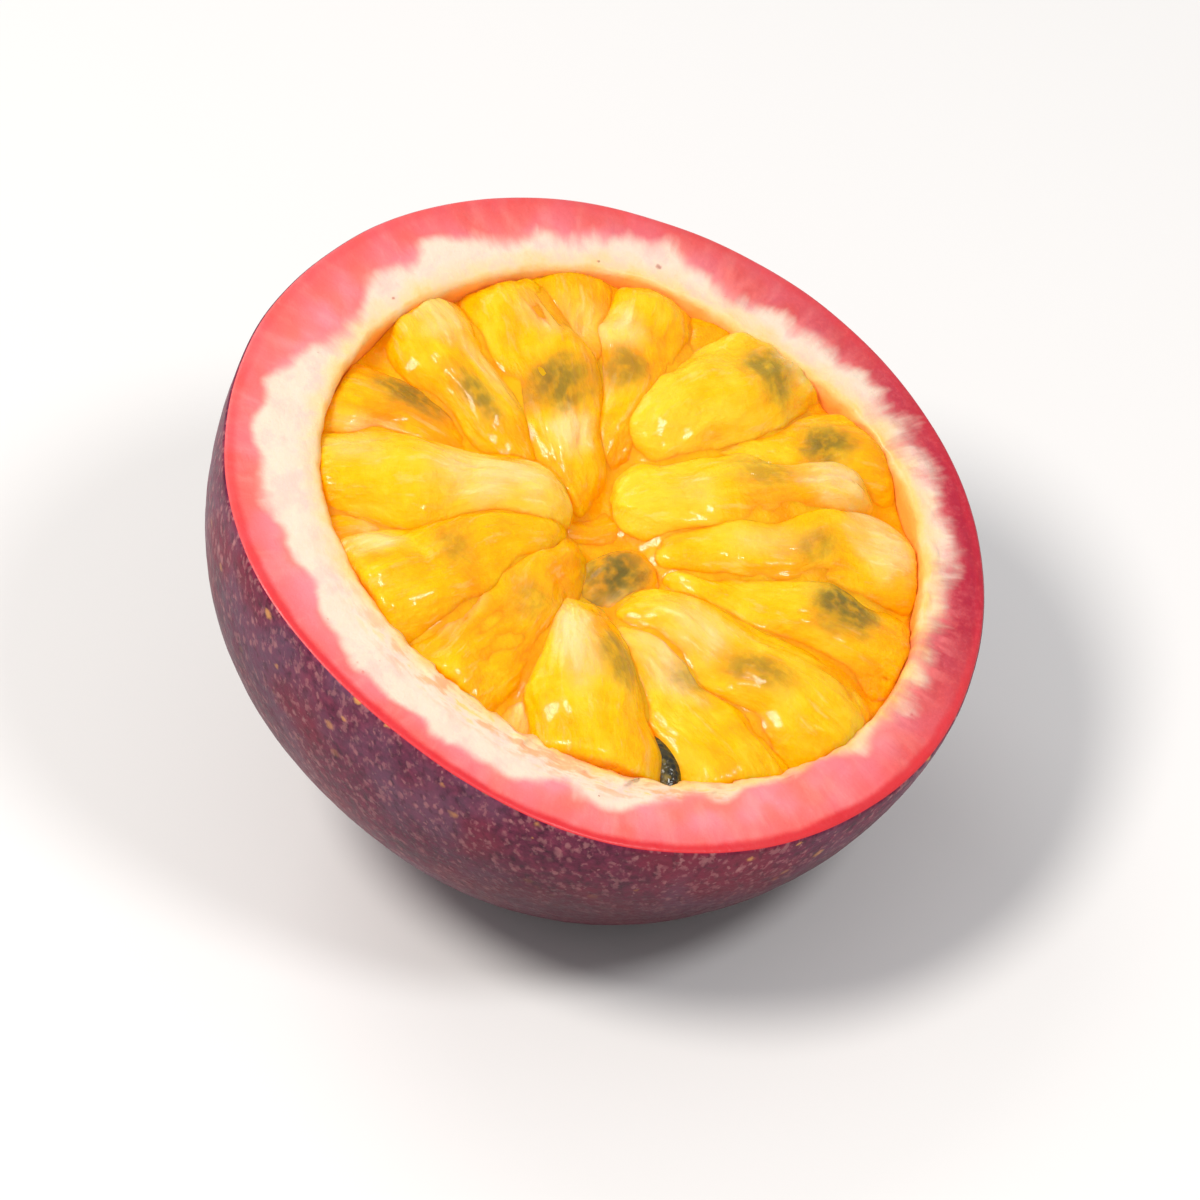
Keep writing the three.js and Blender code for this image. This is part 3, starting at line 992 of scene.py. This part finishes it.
@dataclass(frozen=True)
class JuiceSac:
    """One juice sac that shows.

    Attributes:
        root: angle and radius of its fat end at the wall.
        tip: angle and radius of its end by the middle.
        width: at its tip and at its root.
        crest: its top's height over the cut, at its tip and at its root.
        ripeness: 0 pale yellow to 1 deep orange, at its tip and at its root.
        seeds: where a seed shows through.
        hazes: where the skin is pale and fibrous.
        bend: how far its middle is pushed sideways.
    """

    root: tuple[float, float]
    tip: tuple[float, float]
    width: tuple[float, float]
    crest: tuple[float, float]
    ripeness: tuple[float, float]
    seeds: tuple[Mark, ...] = ()
    hazes: tuple[Mark, ...] = ()
    bend: float = 0.0


SACS = (
    JuiceSac(
        (122, 19.8), (92, 4.4), (5.8, 8.0), (0.4, -0.3), (0.05, 0.5),
        hazes=(Mark(-4.5, 0.0, 9.0, 5.5, 0.7), Mark(5.5, -1.5, 4.0, 3.0, 0.35)),
        bend=0.5,
    ),
    JuiceSac(
        (103, 20.2), (90, 10.4), (5.4, 9.6), (-2.2, -1.0), (0.8, 0.6),
        seeds=(Mark(-0.2, -2.0, 5.3, 3.4, 0.68),),
        hazes=(Mark(1.5, 2.5, 5.0, 2.0, 0.4),),
    ),
    JuiceSac(
        (73, 20.8), (79, 8.0), (4.4, 7.4), (-1.2, -0.3), (0.5, 0.4),
        seeds=(Mark(-2.2, 1.0, 4.4, 2.1, 0.60),),
        hazes=(Mark(4.5, -0.5, 5.0, 4.0, 0.6), Mark(0.0, -1.2, 6.0, 1.5, 0.4)),
        bend=0.3,
    ),
    JuiceSac(
        (53, 19.6), (58, 3.8), (5.2, 8.2), (-0.7, -0.1), (0.45, 0.4),
        seeds=(Mark(-0.9, -0.3, 3.7, 5.1, 0.64),),
        hazes=(Mark(-4.4, -0.5, 3.4, 3.2, 0.95), Mark(5.0, -1.0, 4.0, 3.0, 0.5)),
        bend=-0.4,
    ),
    JuiceSac(
        (38, 21.4), (41, 11.2), (5.6, 8.8), (-1.8, -0.8), (0.75, 0.6),
        hazes=(Mark(0.0, 0.0, 5.0, 4.0, 0.3),),
    ),
    JuiceSac(
        (23, 20.2), (24, 6.4), (4.2, 8.4), (-1.2, -0.1), (0.6, 0.35),
        seeds=(Mark(-1.2, 1.2, 3.7, 3.0, 0.52),),
        hazes=(Mark(2.4, 2.0, 4.0, 3.0, 0.6),),
    ),
    JuiceSac((7, 21.2), (16, 12.6), (5.0, 6.6), (-2.2, -1.2), (0.75, 0.65)),
    JuiceSac(
        (354, 21.0), (13, 9.0), (6.2, 9.2), (0.2, 0.0), (0.05, 0.3),
        seeds=(Mark(3.1, -0.1, 3.9, 4.8, 0.60),),
        hazes=(Mark(6.2, 0.0, 3.0, 4.0, 0.5),),
    ),
    JuiceSac(
        (331, 22.6), (348, 11.2), (5.4, 8.8), (-0.5, -0.6), (0.2, 0.6),
        seeds=(Mark(1.4, 0.4, 4.1, 3.7, 0.68),),
    ),
    JuiceSac(
        (323, 18.2), (346, 3.6), (5.8, 7.0), (0.2, 0.5), (0.05, 0.45),
        seeds=(Mark(0.9, 1.5, 4.8, 4.1, 0.36),),
        hazes=(Mark(5.9, 0.4, 5.0, 4.5, 0.8), Mark(-5.0, 0.0, 4.0, 3.0, 0.2)),
        bend=0.4,
    ),
    JuiceSac(
        (309, 21.4), (300, 5.2), (5.4, 8.6), (-0.5, -0.1), (0.3, 0.4),
        seeds=(Mark(0.2, -0.6, 4.4, 2.8, 0.36),),
        hazes=(Mark(6.4, 0.8, 5.0, 5.0, 0.75), Mark(-3.0, 0.0, 6.0, 2.0, 0.3)),
    ),
    JuiceSac(
        (289, 21.6), (279, 7.0), (4.2, 8.8), (-0.9, -0.6), (0.1, 0.6),
        seeds=(Mark(2.3, 1.0, 5.3, 4.4, 0.76),),
    ),
    JuiceSac(
        (265, 21.2), (237, 7.2), (5.0, 10.6), (-0.2, 0.3), (0.35, 0.3),
        seeds=(Mark(-0.2, -0.5, 6.2, 3.2, 0.48),),
        hazes=(Mark(-5.2, 0.3, 5.0, 3.5, 0.6),),
        bend=0.4,
    ),
    JuiceSac(
        (242, 21.6), (227, 8.8), (3.8, 8.6), (-0.9, -0.3), (0.4, 0.35),
        seeds=(Mark(-2.7, 1.2, 3.0, 2.8, 0.36),),
        hazes=(Mark(-4.0, 0.3, 6.0, 3.0, 0.7),),
    ),
    JuiceSac(
        (214, 20.2), (201, 7.6), (5.2, 10.0), (0.1, 0.3), (0.45, 0.35),
        seeds=(Mark(-2.5, 1.6, 4.4, 3.9, 0.52),),
        hazes=(Mark(-4.1, -1.2, 7.0, 3.0, 0.85),),
    ),
    JuiceSac(
        (178, 18.8), (164, 3.4), (6.0, 9.0), (-0.7, -0.3), (0.55, 0.5),
        seeds=(Mark(-1.9, 0.0, 4.4, 3.4, 0.32),),
        hazes=(Mark(2.0, -2.7, 5.0, 1.6, 0.5),),
    ),
    JuiceSac(
        (152, 19.4), (137, 4.6), (5.2, 10.2), (-0.3, 0.3), (0.5, 0.4),
        seeds=(Mark(-1.1, -0.2, 3.7, 3.9, 0.32),),
        hazes=(Mark(4.3, -3.0, 4.0, 2.6, 0.7),),
    ),
    JuiceSac(
        (136, 20.6), (127, 6.6), (4.2, 6.4), (-1.9, -1.5), (0.75, 0.65),
        hazes=(Mark(1.0, 0.0, 6.0, 3.0, 0.4),),
    ),
    JuiceSac(
        (200, 6.8), (275, 3.8), (5.0, 5.6), (-2.2, -2.0), (0.5, 0.5),
        seeds=(Mark(-1.6, -0.6, 4.8, 4.6, 0.8), Mark(1.6, -0.4, 3.4, 3.4, 0.6)),
        hazes=(Mark(0.4, 1.4, 4.0, 2.2, 0.7),),
    ),
    JuiceSac((120, 3.4), (335, 3.2), (4.6, 4.8), (-3.1, -2.6), (0.5, 0.5)),
    JuiceSac(
        (195, 20.0), (199, 12.2), (4.8, 6.0), (-2.6, -2.0), (0.7, 0.6),
        hazes=(Mark(1.0, 0.0, 4.0, 3.0, 0.5),),
    ),
)


class SacForm:
    """A sac's own axes and sizes in the face's frame, and the sums of its outline."""

    FULLNESS = 2.7
    FLATTENING = 0.84
    PLUMPNESS = 1.3
    ROOT_REACH = 1.6

    def __init__(self, sac: JuiceSac) -> None:
        """Works the axes out from the sac's two ends."""
        half_heights = [across / 2 * self.FLATTENING for across in sac.width]
        tip = polar(*sac.tip, sac.crest[0] - half_heights[0])
        root = polar(sac.root[0], sac.root[1] + self.ROOT_REACH, sac.crest[1] - half_heights[1])
        reach = float(np.linalg.norm(root - tip))
        self.middle = (tip + root) / 2
        self.along = (root - tip) / reach
        across = np.cross([0.0, 0.0, 1.0], self.along)
        self.across = across / np.linalg.norm(across)
        self.up = np.cross(self.along, self.across)
        self.half_length = reach / 2 + sum(half_heights) / 4
        self.half_widths = [across / 2 * self.PLUMPNESS for across in sac.width]
        self.bend = sac.bend

    def half_width(self, place: np.ndarray) -> np.ndarray:
        """Half the width at places from -1, the tip, to 1, the root."""
        share = np.clip((place + 1) / 2, 0.0, 1.0)
        return self.half_widths[0] + (self.half_widths[1] - self.half_widths[0]) * share

    def offset(self, place: np.ndarray) -> np.ndarray:
        """How far the middle line is pushed sideways at places from -1 to 1."""
        return self.bend * (1.0 - np.clip(place, -1.0, 1.0) ** 2)

    def norm(self, local: np.ndarray) -> np.ndarray:
        """How far out local coordinates lie, 1 being the skin."""
        round_part = np.hypot(local[:, 1], local[:, 2]) ** self.FULLNESS
        return (np.abs(local[:, 0]) ** self.FULLNESS + round_part) ** (1 / self.FULLNESS)

    def point(self, local: np.ndarray) -> np.ndarray:
        """Places in the face's frame from local coordinates along, across and up."""
        half = self.half_width(local[:, 0])
        side = local[:, 1] * half + self.offset(local[:, 0])
        height = local[:, 2] * half * self.FLATTENING
        steps = (local[:, 0] * self.half_length)[:, None] * self.along
        return self.middle + steps + side[:, None] * self.across + height[:, None] * self.up

    def local(self, places: np.ndarray) -> np.ndarray:
        """Local coordinates of places in the face's frame."""
        away = places - self.middle
        place = away @ self.along / self.half_length
        half = self.half_width(place)
        side = (away @ self.across - self.offset(place)) / half
        return np.column_stack([place, side, away @ self.up / half / self.FLATTENING])

    def level(self, places: np.ndarray) -> np.ndarray:
        """How far out of the sac places lie: 0 at its middle, 1 on its skin."""
        return self.norm(self.local(places))


def furthest(blocked: Callable[[np.ndarray], np.ndarray], count: int, top: float) -> np.ndarray:
    """The highest level that is still free, found by halving.

    Args:
        blocked: says for each of count levels whether something is in the way.
        count: how many levels are sought.
        top: the highest level that is tried.

    Returns:
        The levels.
    """
    low = np.zeros(count)
    high = np.full(count, top)
    for _ in range(14):
        middle = (low + high) / 2
        stopped = blocked(middle)
        high = np.where(stopped, middle, high)
        low = np.where(stopped, low, middle)
    return low


class HeightMap:
    """Heights over the cut face on a square grid."""

    REACH = 26.0
    STEP = 0.25

    def __init__(self, floor: float) -> None:
        """Starts at one height everywhere."""
        self.line = np.arange(-self.REACH, self.REACH + self.STEP / 2, self.STEP)
        self.heights = np.full((len(self.line), len(self.line)), floor)

    def raise_over(self, form: SacForm) -> None:
        """Raises the map to the top of a sac."""
        reach = form.half_length + form.half_widths[1]
        rows = np.flatnonzero(np.abs(self.line - form.middle[0]) < reach)
        columns = np.flatnonzero(np.abs(self.line - form.middle[1]) < reach)
        window = np.ix_(rows, columns)
        across, up = np.meshgrid(self.line[rows], self.line[columns], indexing="ij")
        places = np.column_stack([across.ravel(), up.ravel(), np.zeros(across.size)])
        top = np.full(across.size, -99.0)
        for height in np.arange(-7.0, 2.0, 0.1):
            places[:, 2] = height
            top = np.where(form.level(places) < 1.0, height, top)
        self.heights[window] = np.maximum(self.heights[window], top.reshape(across.shape))

    def dent(self, centre: np.ndarray, reach: float, depth: float) -> None:
        """Lowers the map round a place."""
        across, up = np.meshgrid(self.line - centre[0], self.line - centre[1], indexing="ij")
        self.heights -= depth * smoothstep(reach * 1.5, reach * 0.7, np.hypot(across, up))

    def blur(self, spread: float) -> None:
        """Evens the heights out over a distance in millimetres."""
        steps = np.arange(-4 * spread, 4 * spread + self.STEP, self.STEP)
        weights = np.exp(-((steps / spread) ** 2))
        weights /= weights.sum()
        for axis in (0, 1):
            self.heights = np.apply_along_axis(np.convolve, axis, self.heights, weights, mode="same")

    def at(self, places: np.ndarray) -> np.ndarray:
        """The height at each place."""
        cells = np.clip((places[:, :2] + self.REACH) / self.STEP, 0, len(self.line) - 1.001)
        index = cells.astype(int)
        share = cells - index
        row, column = index[:, 0], index[:, 1]
        over, up = share[:, 0], share[:, 1]
        near = self.heights[row, column] * (1 - up) + self.heights[row, column + 1] * up
        far = self.heights[row + 1, column] * (1 - up) + self.heights[row + 1, column + 1] * up
        return near * (1 - over) + far * over


@dataclass
class Pulp:
    """The juice sacs that show, their seeds, the bare seed and the bed of pulp below.

    Attributes:
        rind: the rind that holds it all.
        sacs: the sacs that show.
        detail: subdivisions of a sac's mesh.
        seed_size: length, width and thickness of a full seed.
        bare_seed_turn: angle that the bare seed points to, in degrees.
        bed_top: the bed's height between the sacs.
        gap: clearance to the wall.
        forms: the sacs' axes and sizes.
        valleys: the heights of the pulp's top, evened out.
    """

    rind: Rind
    sacs: tuple[JuiceSac, ...] = SACS
    detail: int = 6
    seed_size: tuple[float, float, float] = (4.8, 3.1, 1.9)
    bare_seed_turn: float = 227.0
    bed_top: float = -2.4
    gap: float = 0.02
    forms: list[SacForm] = field(init=False)
    valleys: HeightMap = field(init=False)

    TOP_LEVEL = 1.4
    ROUNDING = 0.014
    PRESSURE = 0.012
    CROWDING = (1.15, 1.15, 0.6)
    LUMPS = 0.34
    FOLDS = 0.58
    WRINKLES = 0.16
    HAZINESS = 1.15
    SEED_SHOWING = 1.1
    SEED_DENT = (2.1, 1.2)
    VALLEY_SPREAD = 0.8
    VALLEY_DROP = 0.2
    WALL_CLIMB = 0.12

    def __post_init__(self) -> None:
        """Works out every sac's axes and the heights of the valleys between them."""
        self.forms = [SacForm(sac) for sac in self.sacs]
        self.valleys = HeightMap(self.bed_top)
        for form in self.forms:
            self.valleys.raise_over(form)
        self.valleys.blur(self.VALLEY_SPREAD)

    def contacts(self, form: SacForm, rays: np.ndarray) -> tuple[np.ndarray, np.ndarray]:
        """How far a sac's skin may go along each ray.

        Args:
            form: the sac.
            rays: local directions of length 1 by the sac's own norm.

        Returns:
            The level of the skin and the level of the nearest contact, per ray.
        """
        count = len(rays)

        def at(level: np.ndarray) -> np.ndarray:
            return form.point(rays * level[:, None])

        walls = furthest(lambda level: ~self.rind.in_hollow(at(level), self.gap), count, self.TOP_LEVEL)
        stops = [np.ones(count), walls]
        nearest = np.full(count, self.TOP_LEVEL)
        for other in self.forms:
            reach = form.half_length + other.half_length + 2.0
            if other is form or np.linalg.norm(other.middle - form.middle) > reach:
                continue
            met = furthest(
                lambda level, other=other: other.level(at(level)) < level - self.PRESSURE,
                count,
                self.TOP_LEVEL,
            )
            stops.append(met)
            nearest = np.minimum(nearest, met)
        softened = sum(np.exp(-stop / self.ROUNDING) for stop in stops)
        return np.minimum(-self.ROUNDING * np.log(softened), walls), nearest

    def crowded(self, places: np.ndarray) -> np.ndarray:
        """Places pushed about by the crowd, less so by the wall; neighbours move together."""
        turn = np.arctan2(places[:, 1], places[:, 0])
        from_wall = self.rind.cavity.at(turn) - np.hypot(places[:, 0], places[:, 1])
        freedom = smoothstep(0.3, 5.0, from_wall)[:, None]
        return places + drift(places, 0.17, 3.0) * np.array(self.CROWDING) * freedom

    def sac_mesh(self, number: int) -> bpy.types.Mesh:
        """One sac's mesh, pressed against its neighbours and wrinkled, with its shades."""
        sac, form = self.sacs[number - 1], self.forms[number - 1]
        mesh = ball(self.detail)
        rays = corners(mesh)
        rays /= form.norm(rays)[:, None]
        level, nearest = self.contacts(form, rays)
        places = form.point(rays * level[:, None])
        move_corners(mesh, places)
        soften(mesh, 2, 0.4)
        places = corners(mesh)
        local = form.local(places)
        own = (places - form.middle) @ np.column_stack([form.along, form.across, form.up])
        own += np.array([number * 13.0, number * 5.0, 0.0])
        stretched = own * np.array([0.28, 1.0, 1.0])
        haze = self.HAZINESS * self.marked(form, places, sac.hazes, 0.35)
        lumps = self.LUMPS * ripple(own, 0.16, number)
        folds = 0.5 - np.abs(ripple(stretched, 0.34, number + 15.0, 2))
        folds *= smoothstep(-0.3, 0.5, ripple(own, 0.13, number + 45.0, 2))
        wrinkles = self.WRINKLES * ripple(stretched, 0.8, number + 30.0, 5) * (0.8 + haze)
        places += normals(mesh) * (lumps + self.FOLDS * folds + wrinkles)[:, None]
        move_corners(mesh, places)
        above = places[:, 2] - self.valleys.at(places)
        # share of painted shade for the creases: near a neighbour's contact and where the sac dips under
        # the valleys
        crease_shade = np.maximum(0.35 * smoothstep(1.15, 0.84, nearest), smoothstep(0.0, -0.3, above))
        seed = self.SEED_SHOWING * self.marked(form, places, sac.seeds, 0.22)
        share = np.clip((local[:, 0] + 1) / 2, 0.0, 1.0)
        ripeness = sac.ripeness[0] + (sac.ripeness[1] - sac.ripeness[0]) * share
        keep(mesh, "pulp", np.column_stack([crease_shade, haze, seed]))
        keep(mesh, "sac", own)
        keep(mesh, "tone", np.column_stack([ripeness, share, np.maximum(-places[:, 2], 0.0)]))
        move_corners(mesh, self.crowded(places))
        return mesh

    def marked(self, form: SacForm, places: np.ndarray, marks: tuple[Mark, ...], fray: float) -> np.ndarray:
        """How strongly a sac is marked at each place.

        Args:
            form: the sac.
            places: places on it.
            marks: its patches.
            fray: how uneven a patch's edge is.

        Returns:
            0 to 1 at each place.
        """
        away = places - form.middle
        along, across = away @ form.along, away @ form.across
        upper = smoothstep(-0.2, 0.8, away @ form.up)
        uneven = fray * ripple(places, 0.6, 60.0, 3)
        found = np.zeros(len(places))
        for mark in marks:
            near = np.hypot((along - mark.along) * 2 / mark.length, (across - mark.across) * 2 / mark.width)
            found = np.maximum(found, mark.strength * smoothstep(1.55, 0.25, near + uneven))
        return found * upper

    def seed_centre(self, node: str) -> np.ndarray:
        """The middle of a CAD seed, in the face's frame."""
        low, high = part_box(node)
        return np.array(FACE.to_row().inverted() @ ((low + high) / 2))

    def seed_mesh(self, centre: np.ndarray, axes: np.ndarray, scale: float, detail: int) -> bpy.types.Mesh:
        """A flat oval seed, pointed at one end and pitted.

        Args:
            centre: its middle.
            axes: its length, width and thickness directions, one row each.
            scale: its size against a full seed.
            detail: subdivisions.

        Returns:
            The mesh in the face's frame.
        """
        mesh = ball(detail)
        rays = corners(mesh)
        taper = 1.0 - 0.22 * rays[:, 0] - 0.12 * rays[:, 0] ** 2
        halves = np.array(self.seed_size) / 2 * scale
        shape = rays * halves
        shape[:, 1] *= taper
        shape[:, 2] *= 1.0 - 0.1 * rays[:, 0]
        pits = 0.05 * ripple(shape, 1.6, 9.0)
        shape *= (1.0 + pits * 0.6)[:, None] * 0.98
        move_corners(mesh, self.crowded(centre + shape @ axes))
        return mesh

    def bed_mesh(self) -> bpy.types.Mesh:
        """The bed: it fills the cavity, and its top lies in the valleys between the sacs."""
        depth, radius = self.rind.hollow.depth - 0.3, self.rind.hollow.radius - 0.3
        wall = Bowl(radius, depth, self.rind.hollow.fullness)
        points = [wall.point(step / 48) for step in range(49)]
        sides = [(across, down, 0.0) for across, down in points if down < self.bed_top - 0.4]
        edge = sides[-1][0]
        top = [(edge * (1 - step / 80), self.bed_top, 1.0) for step in range(81)]
        mesh = spun([*sides, *top], "top", 320)
        places = corners(mesh)
        is_top = np.array([item.value for item in mesh.attributes["top"].data]) > 0.5
        turn = np.arctan2(places[:, 1], places[:, 0])
        factor = (self.rind.cavity.at(turn) - self.gap) / radius
        places[:, :2] *= factor[:, None]
        self.valleys.dent(self.seed_centre("bare_seed"), *self.SEED_DENT)
        tops = places[is_top]
        tops[:, 2] = self.valleys.at(tops) - self.VALLEY_DROP + 0.08 * ripple(tops, 0.3, 12.0)
        from_wall = self.rind.cavity.at(turn[is_top]) - np.hypot(tops[:, 0], tops[:, 1])
        tops[:, 2] += self.WALL_CLIMB * smoothstep(2.5, 0.0, from_wall)
        places[is_top] = self.crowded(tops)
        move_corners(mesh, places)
        return mesh

    def build(self, effects: Effects) -> list[bpy.types.Object]:
        """Builds and dresses every sac, every seed and the bed."""
        sac_material = SacFinish().material(effects)
        seed_material = SeedFinish().material(effects)
        pieces = []
        for number, form in enumerate(self.forms, 1):
            label = f"{number:02d}"
            mesh = self.sac_mesh(number)
            sac = finish_piece(f"juice_sac_{label}", mesh, [sac_material], [f"sac_{label}"])
            axes = np.array([form.along, form.across, form.up])
            centre = self.seed_centre(f"seed_{label}")
            mesh = self.seed_mesh(centre, axes, self.seed_scale(f"seed_{label}", form), 4)
            seed = finish_piece(f"inner_seed_{label}", mesh, [seed_material], [f"seed_{label}"])
            pieces += [sac, seed]
        turn = math.radians(self.bare_seed_turn)
        out = np.array([math.cos(turn), math.sin(turn), 0.0])
        axes = np.array([out, np.cross([0.0, 0.0, 1.0], out), [0.0, 0.0, 1.0]])
        mesh = self.seed_mesh(self.seed_centre("bare_seed"), axes, 1.0, 5)
        pieces.append(finish_piece("loose_seed", mesh, [seed_material], ["bare_seed"]))
        bed_material = BedFinish().material(effects)
        bed = finish_piece("deep_pulp", self.bed_mesh(), [bed_material], ["pulp_bed"])
        return [*pieces, bed]

    def seed_scale(self, node: str, form: SacForm) -> float:
        """A CAD seed's size against a full one, from its box."""
        low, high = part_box(node)
        turned = np.array(FACE.to_row().to_3x3()) / MM @ form.along
        box = np.array(high - low) / MM
        flat = np.array(FACE.to_row().to_3x3()) / MM @ form.across
        length, width, _ = self.seed_size
        full = np.hypot(turned * length, flat * width)
        return float(min(1.0, box[0] / full[0], box[1] / full[1]))


# ---------------------------------------------------------------- the studio


@dataclass(frozen=True)
class AreaLamp:
    """A soft lamp that points at the fruit.

    Attributes:
        azimuth: degrees round the fruit.
        elevation: degrees up.
        distance: metres from the fruit.
        size: metres across.
        power: watts.
        tint: the light's colour.
    """

    azimuth: float
    elevation: float
    distance: float
    size: float
    power: float
    tint: str = "ffffff"


@dataclass(frozen=True)
class Studio:
    """Floor, light and camera.

    Attributes:
        azimuth: where the camera stands, in degrees round the fruit.
        elevation: how high it stands, in degrees.
        distance: metres from the camera to the fruit.
        lens: focal length in millimetres.
        lamps: the lamps.
        sky: strength of the even light from all round.
    """

    azimuth: float = -148.6
    elevation: float = 42.5
    distance: float = 0.85
    lens: float = 362.0
    lamps: tuple[AreaLamp, ...] = (
        AreaLamp(150.0, 60.0, 0.5, 0.16, 1.8, "fffaf4"),
        AreaLamp(-100.0, 55.0, 0.55, 0.12, 1.0),
        AreaLamp(60.0, 40.0, 0.6, 0.3, 0.6),
    )
    sky: float = 0.4

    def aim(self, azimuth: float, elevation: float, distance: float, target: Vector) -> Matrix:
        """A place on a sphere round a target, looking at it.

        Args:
            azimuth: degrees round the target.
            elevation: degrees up.
            distance: metres.
            target: the point that is looked at.

        Returns:
            The matrix of a camera or lamp there.
        """
        side, rise = math.radians(azimuth), math.radians(elevation)
        away = Vector((math.cos(rise) * math.cos(side), math.cos(rise) * math.sin(side), math.sin(rise)))
        turn = away.to_track_quat("Z", "Y").to_matrix().to_4x4()
        return Matrix.Translation(target + away * distance) @ turn

    def build(self, low: Vector, high: Vector) -> None:
        """Sets the studio up round a box.

        Args:
            low: the box's lowest corner.
            high: its highest corner.
        """
        scene = bpy.context.scene
        target = (low + high) / 2
        self._floor(scene)
        for number, lamp in enumerate(self.lamps, 1):
            data = bpy.data.lights.new(f"lamp_{number}", "AREA")
            data.shape = "DISK"
            data.size = lamp.size
            data.energy = lamp.power
            data.color = colour(lamp.tint)[:3]
            light = bpy.data.objects.new(f"lamp_{number}", data)
            light.matrix_world = self.aim(lamp.azimuth, lamp.elevation, lamp.distance, target)
            scene.collection.objects.link(light)
        data = bpy.data.cameras.new("camera")
        data.lens = self.lens
        data.clip_start = 0.01
        camera = bpy.data.objects.new("camera", data)
        camera.matrix_world = self.aim(self.azimuth, self.elevation, self.distance, target)
        scene.collection.objects.link(camera)
        scene.camera = camera
        scene.world = self._sky()
        scene.view_settings.view_transform = "Standard"
        scene.view_settings.look = "None"

    def _floor(self, scene: bpy.types.Scene) -> None:
        """A wide flat floor."""
        shape = bmesh.new()
        bmesh.ops.create_grid(shape, x_segments=1, y_segments=1, size=3.0)
        mesh = bpy.data.meshes.new("floor")
        shape.to_mesh(mesh)
        shape.free()
        mesh.materials.append(FloorFinish().material())
        floor = bpy.data.objects.new("floor", mesh)
        scene.collection.objects.link(floor)
        floor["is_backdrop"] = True

    def _sky(self) -> bpy.types.World:
        """Even white light from all round."""
        world = bpy.data.worlds.new("sky")
        world.use_nodes = True
        background = world.node_tree.nodes["Background"]
        background.inputs["Color"].default_value = colour("fdfdff")
        background.inputs["Strength"].default_value = self.sky
        return world


def main() -> None:
    """Builds the fruit around its frame, then the studio round the fruit."""
    logging.basicConfig(level=logging.INFO, format="%(name)s: %(message)s")
    noise.seed_set(NOISE_SEED)
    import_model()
    cad_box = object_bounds()
    effects = Effects()
    rind = Rind()
    rind.build(effects)
    Pulp(rind).build(effects)
    Studio().build(*cad_box)


if __name__ == "__main__":
    main()
